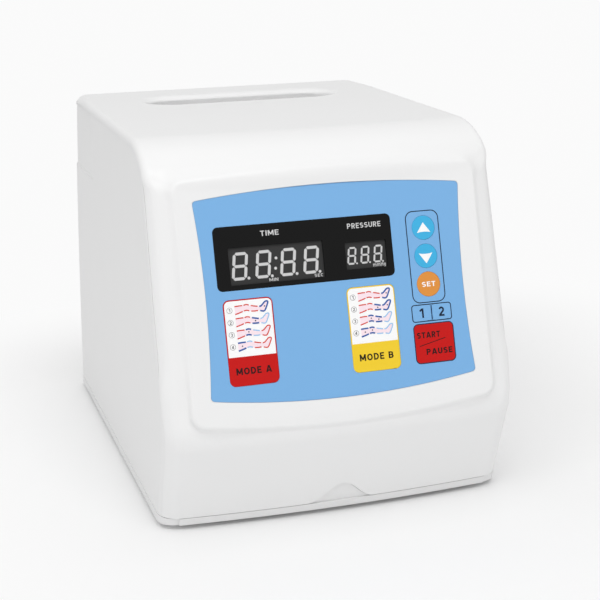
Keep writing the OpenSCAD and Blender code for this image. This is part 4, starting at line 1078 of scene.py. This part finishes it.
def add_tile(name, key, rows, label, letter_ink):
    """Print of a mode key: four numbered legs on white over a coloured foot with its name."""
    body = name + "_key"
    u, v, w, h, r = key
    left, right, low = u - w / 2 + TILE_INSET, u + w / 2 - TILE_INSET, TILE_FOOT
    top = v + h / 2 - TILE_INSET
    corner = r - 0.5
    outline = [(left, low), (right, low)]
    outline += [*arc(right - corner, top - corner, corner, corner, 0, 90, 9)]
    outline += [*arc(left + corner, top - corner, corner, corner, 90, 180, 9)]
    add_plate(ink(body, "white"), np.array(outline), [], CAP_TOP - 0.2, CAP_TOP + 0.03, on_panel)
    base = CAP_TOP + 0.01
    for i, colors in enumerate(rows):
        row_v = top - LEG_FIRST - LEG_PITCH * i
        ring = (left + 2.6, row_v, 3.0, 3.0, 1.5)
        add_plate(ink(body, "grey"), key_ring(*ring), [key_ring(*ring, -0.16)], base, base + 0.07, on_panel)
        add_letters(ink(body, "grey"), str(i + 1), ring[0], row_v, 1.7, base, base + 0.07)
        add_leg(body, left + 5.4, row_v - 0.2, colors, base)
    middle = (low + v - h / 2) / 2
    add_letters(ink(body, letter_ink), label, u, middle, 3.5, base - 0.1, base + 0.03, weight=0.2, width=18.6)


def film_print(name, color, **more):
    """Printed film, glossier than the moulding."""
    look = {"rough": 0.33, "bump": 0.05, "vary": 0.01, "Specular_IOR_Level": 0.25, **more}
    return shader(name, linear(*color), **look)


OVERLAY_BLUE = (124, 178, 227)
CAP_COLORS = {
    "key_cyan": (66, 178, 226), "key_orange": (224, 146, 64), "key_blue": OVERLAY_BLUE,
    "key_red": (198, 12, 10), "key_yellow": (242, 206, 48),
}
CAP_SLOTS = {
    "up": "key_cyan", "down": "key_cyan", "setting": "key_orange", "one_sleeve": "key_blue",
    "two_sleeve": "key_blue", "start_pause": "key_red", "mode_a": "key_red", "mode_b": "key_yellow",
}


def build_film():
    """The overlay's film, and the window's plate with the openings of the display modules."""
    film = Solid()
    holes = [key_ring(*k, 0.25) for k in KEYS.values()]
    add_plate(film, overlay_ring(0), holes + [key_ring(*WINDOW, 0.08)], FILM_LOW, FILM_TOP, on_panel)
    film = film.done("overlay_film", film_print("overlay_print", OVERLAY_BLUE, Specular_IOR_Level=0.3))
    place_piece(film, "casing", "overlay_blue", "control_overlay")
    window = Solid()
    openings = [key_ring(u, v, w, h, 0.25, 0.02) for u, v, w, h in MODULES.values()]
    add_plate(window, key_ring(*WINDOW), openings, -1.1, FILM_TOP, on_panel)
    window = window.done("window_plate", film_print("window_black", (5,), rough=0.16, bump=0.01, vary=0.05))
    place_piece(window, "casing", "black_gloss", "display_window")


def build_caps():
    """A cap for each key; keys of one colour share their finish."""
    caps = {}
    for name, key in KEYS.items():
        slot_name = CAP_SLOTS[name]
        if slot_name not in caps:
            caps[slot_name] = film_print(slot_name + "_cap", CAP_COLORS[slot_name])
        cap = Solid()
        add_cap(cap, key)
        place_piece(cap.done(name + "_cap", caps[slot_name]), name + "_key", slot_name, name + "_key")


def build_prints():
    """Captions, frames, the keys' signs and the two mode tiles."""
    low, high = FILM_TOP - 0.1, FILM_TOP + 0.03
    on_module = (-1.3, -1.08)
    for words, u, v, height, span, width in (
        ("TIME", -33.5, 58.9, 2.7, (low, high), 9.8),
        ("PRESSURE", 17.6, 58.7, 2.7, (low, high), 18.4),
        ("MIN", -33.2, 34.95, 1.6, on_module, 4.8),
        ("SEC", -8.9, 34.95, 1.6, on_module, 4.8),
        ("mmHg", 24.5, 37.7, 2.0, on_module, 7.0),
    ):
        add_letters(ink("casing", "caption"), words, u, v, height, *span, width=width)
    lines = ink("casing", "dark")
    add_frame(lines, (50.0, 39.4, 18.2, 48.2, 4.0), 0.52, low, high)
    add_frame(lines, (50.6, 9.8, 22.0, 8.8, 1.4), 0.52, low, high)
    add_plate(lines, key_ring(50.6, 9.8, 0.42, 7.9, 0.02), [], low, high, on_panel)
    add_frame(lines, (50.7, -6.25, 22.2, 20.6, 2.5), 0.55, low, high)
    base, top = CAP_TOP - 0.1, CAP_TOP + 0.04
    for name, turn, apex, foot in (("up", 1, 2.8, -2.6), ("down", -1, 4.0, -1.5)):
        u, v = KEYS[name][:2]
        hem = [(-3.85, foot), (-2.0, foot + 0.35), (0, foot + 0.45), (2.0, foot + 0.35), (3.85, foot)]
        line = [(0, apex)] + hem
        add_plate(ink(name + "_key", "white"), np.array(line) * [1, turn] + [u, v], [], base, top, on_panel)
    add_letters(ink("setting_key", "white"), "SET", 50.4, 24.8, 2.6, base, top, weight=0.19, width=7.6)
    add_letters(ink("one_sleeve_key", "dark"), "1", 44.9, 9.8, 5.0, base, top, weight=0.19)
    add_letters(ink("two_sleeve_key", "dark"), "2", 56.1, 9.8, 5.0, base, top, weight=0.19)
    start = ink("start_pause_key", "maroon")
    add_letters(start, "START", 47.6, -1.8, 3.1, base, top, weight=0.2, width=13.0)
    add_letters(start, "PAUSE", 52.9, -10.7, 3.1, base, top, weight=0.2, width=14.6)
    add_plate(start, ribbon([(42.1, -7.45), (49.5, -5.8), (56.85, -4.15)], 0.34), [], base, top, on_panel)
    r, b, s = "red", "blue", "sky"
    a_rows = (r, r, r, b), (r, r, b, s), (r, b, s, r), (b, s, r, r)
    b_rows = (r, r, r, b), (r, r, b, b), (r, b, b, s), (b, b, s, s)
    add_tile("mode_a", KEYS["mode_a"], a_rows, "MODE A", "maroon")
    add_tile("mode_b", KEYS["mode_b"], b_rows, "MODE B", "brown")
    for (body, color), solid in prints.items():
        material, slot_name = INKS[color]
        place_piece(solid.done("print_%s_%s" % (body, color), material), body, slot_name)


build_film()
build_caps()
build_prints()


# ---- finishes of the CAD nodes that show as they are ----
# finish: colour, roughness, bump, mottling, other settings, and the nodes that wear it
FINISHES = {
    "base_white": ((234,), 0.5, 0.18, 0.008, {"IOR": 1.46}, "base_cover"),
    "rear_panel_grey": ((214,), 0.55, 0.3, 0.012, {"bump_scale": 1400.0}, "rear_panel"),
    "module_face": ((50,), 0.5, 0.05, 0.03, {"Specular_IOR_Level": 0.25}, "time_display pressure_display"),
    "segment_epoxy": ((206,), 0.42, 0.02, 0.02, {}, "time_segments pressure_segments"),
    "black_nylon": ((26,), 0.55, 0.3, 0.08, {"bump_scale": 1600.0}, "power_inlet fuse_drawer switch_frame"),
    "black_rocker": ((18,), 0.22, 0.03, 0.06, {}, "power_rocker"),
    "solder_resist": ((18, 92, 52), 0.34, 0.06, 0.06, {}, "display_board main_board"),
    "component_black": ((34,), 0.5, 0.12, 0.08, {}, "main_board_parts key_switches"),
    "zinc_plate": (
        (198, 200, 206), 0.32, 0.12, 0.05, {"bump_scale": 500.0, "Metallic": 1.0},
        "casing_screws rear_panel_screws display_board_screws main_board_screws "
        "transformer_bracket valve_motor",
    ),
    "varnished_steel": (
        (88, 86, 84), 0.5, 0.3, 0.12, {"bump_scale": 700.0, "Metallic": 0.6}, "transformer_core pump_cores"
    ),
    "taped_winding": ((196, 118, 52), 0.42, 0.35, 0.1, {"bump_scale": 450.0}, "transformer_coil pump_coils"),
    "bare_sheet": ((200, 202, 206), 0.4, 0.16, 0.05, {"bump_scale": 420.0, "Metallic": 1.0}, "pump_chassis"),
    "black_rubber": ((40,), 0.72, 0.35, 0.08, {}, "pump_diaphragms pump_mounts"),
    "grey_rubber": (
        (92,), 0.78, 0.4, 0.06, {}, "front_left_foot front_right_foot rear_left_foot rear_right_foot"
    ),
    "nylon_ivory": (
        (230, 226, 210), 0.46, 0.14, 0.015, {},
        "left_hose_port right_hose_port front_pump_head rear_pump_head valve_base valve_cap pump_armature "
        "pressure_sensor",
    ),
    "acetal": ((236, 138, 50), 0.38, 0.08, 0.03, {}, "valve_rotor"),
    "silicone_tube": ((226, 228, 224), 0.3, 0.05, 0.02, {}, "supply_tubes outlet_tubes"),
    "ribbon_pvc": ((176, 178, 180), 0.5, 0.2, 0.04, {}, "ribbon_cable"),
    "lead_pvc": ((118, 66, 34), 0.45, 0.1, 0.06, {}, "mains_leads"),
    "plated_contact": ((206, 194, 150), 0.28, 0.06, 0.05, {"Metallic": 1.0}, "inlet_pins"),
    "fuse_tube": ((214, 222, 222), 0.12, 0.02, 0.02, {"IOR": 1.5}, "fuse"),
    "filter_felt": ((206, 206, 200), 0.9, 0.8, 0.05, {"bump_scale": 300.0}, "intake_filter"),
}
for finish, (color, rough, bump, vary, more, wearers) in FINISHES.items():
    material = shader(finish, linear(*color), rough=rough, bump=bump, vary=vary, **more)
    for node in wearers.split():
        for place in NODES[node].material_slots:
            place.material = material


# ---- floor, light and camera ----
BACKDROP_SEEN = (0.96, 0.96, 0.96, 1)
# box round the casing's foot, reaching further to the shaded right: its middle and half its sides, in metres.
# Outside it the floor's painted glow lifts its shade, so the floor left of the casing is painted brighter
# than it is lit
SHADE_X, SHADE_HALF, FADE = 0.06, (0.115, 0.14, 0), 0.2


def mix_by(tree, share, shaders, surface):
    """Sends two shaders to the surface: the first where share is 0, the second where it is 1."""
    node = tree.nodes.new("ShaderNodeMixShader")
    for start, end in zip((share, *shaders), node.inputs):
        tree.links.new(start, end)
    tree.links.new(node.outputs["Shader"], surface)


def shade_distance(tree):
    """Distance from the box round the casing's foot."""
    last = tree.nodes.new("ShaderNodeTexCoord").outputs["Object"]
    steps = (
        ("ADD", (-SHADE_X, 0, 0)), ("ABSOLUTE", None), ("SUBTRACT", SHADE_HALF),
        ("MAXIMUM", (0, 0, 0)), ("LENGTH", None),
    )
    for operation, other in steps:
        node = tree.nodes.new("ShaderNodeVectorMath")
        node.operation = operation
        tree.links.new(last, node.inputs[0])
        if other:
            node.inputs[1].default_value = other
        last = node.outputs["Value" if operation == "LENGTH" else "Vector"]
    return last


def backdrop_material():
    """White floor that takes the contact shadow near the casing and fades into the white that the camera
    sees: a glow of painted light that lifts the floor's shade, more on the casing's left than on its right.
    """
    mat = bpy.data.materials.new("backdrop")
    mat.use_nodes = True
    tree = mat.node_tree
    bsdf = tree.nodes["Principled BSDF"]
    bsdf.inputs["Base Color"].default_value = (0.93, 0.93, 0.93, 1)
    bsdf.inputs["Roughness"].default_value = 0.9
    bsdf.inputs["Specular IOR Level"].default_value = 0.1
    # glow that only the camera sees: painted light over the floor's shade outside the box round the casing's
    # foot
    glow = tree.nodes.new("ShaderNodeEmission")
    glow.inputs["Color"].default_value = BACKDROP_SEEN
    span = tree.nodes.new("ShaderNodeMapRange")
    span.interpolation_type = "SMOOTHSTEP"
    span.inputs["From Min"].default_value = 0.0
    span.inputs["From Max"].default_value = FADE
    path = tree.nodes.new("ShaderNodeLightPath")
    share = tree.nodes.new("ShaderNodeMath")
    share.operation = "MULTIPLY"
    tree.links.new(shade_distance(tree), span.inputs["Value"])
    tree.links.new(span.outputs["Result"], share.inputs[0])
    tree.links.new(path.outputs["Is Camera Ray"], share.inputs[1])
    surface = tree.nodes["Material Output"].inputs["Surface"]
    mix_by(tree, share.outputs["Value"], (bsdf.outputs["BSDF"], glow.outputs["Emission"]), surface)
    return mat


FLOOR_CORNERS = [(-6, -6, 0), (6, -6, 0), (6, 6, 0), (-6, 6, 0)]
floor_mesh = bpy.data.meshes.new("floor")
floor_mesh.from_pydata(FLOOR_CORNERS, [], [(0, 1, 2, 3)])
floor_mesh.materials.append(backdrop_material())
floor = bpy.data.objects.new("floor", floor_mesh)
bpy.context.scene.collection.objects.link(floor)

world = bpy.data.worlds.new("studio")
bpy.context.scene.world = world
world.use_nodes = True
wt = world.node_tree
back = wt.nodes["Background"]
back.inputs["Color"].default_value = (1, 1, 1, 1)
back.inputs["Strength"].default_value = 0.63
seen = wt.nodes.new("ShaderNodeBackground")
seen.inputs["Color"].default_value = BACKDROP_SEEN
seen.inputs["Strength"].default_value = 1.0
path = wt.nodes.new("ShaderNodeLightPath")
skies = (back.outputs["Background"], seen.outputs["Background"])
mix_by(wt, path.outputs["Is Camera Ray"], skies, wt.nodes["World Output"].inputs["Surface"])

# the point that the lamps face
AIM = (0, 0, 0.1)


def area(name, at, size, power):
    """Square soft lamp that faces the casing's foot."""
    light = bpy.data.lights.new(name, "AREA")
    light.shape = "RECTANGLE"
    light.size, light.size_y = size, size
    light.energy = power
    obj = bpy.data.objects.new(name, light)
    obj.location = at
    obj.rotation_euler = (Vector(AIM) - Vector(at)).to_track_quat("-Z", "Y").to_euler()
    bpy.context.scene.collection.objects.link(obj)


area("front", (0.0, -1.4, 2.0), 1.2, 12.8)
area("left", (-1.0, -1.0, 1.8), 1.2, 7.4)
area("top", (0.1, 0.3, 2.0), 1.6, 4.1)

# camera, fitted to the photograph's perspective: lens in mm, place in metres, turns in degrees
LENS = 86.68
CAMERA_AT = (-0.23071, -0.80967, 0.32166)
CAMERA_TURNS = (17.12, 15.64, -1.01)
cam_data = bpy.data.cameras.new("camera")
cam_data.lens = LENS
cam_data.sensor_width = 36
cam_data.clip_start = 0.01
camera = bpy.data.objects.new("camera", cam_data)
bpy.context.scene.collection.objects.link(camera)
yaw, pitch, roll = map(math.radians, CAMERA_TURNS)
fwd = Vector((math.sin(yaw) * math.cos(pitch), math.cos(yaw) * math.cos(pitch), -math.sin(pitch)))
right = Vector((math.cos(yaw), -math.sin(yaw), 0))
up = right.cross(fwd)
side = right * math.cos(roll) + up * math.sin(roll)
over = up * math.cos(roll) - right * math.sin(roll)
rows = zip(side, over, -fwd, CAMERA_AT)
camera.matrix_world = Matrix((*rows, (0, 0, 0, 1)))
bpy.context.scene.camera = camera
bpy.context.scene.view_settings.view_transform = "Standard"
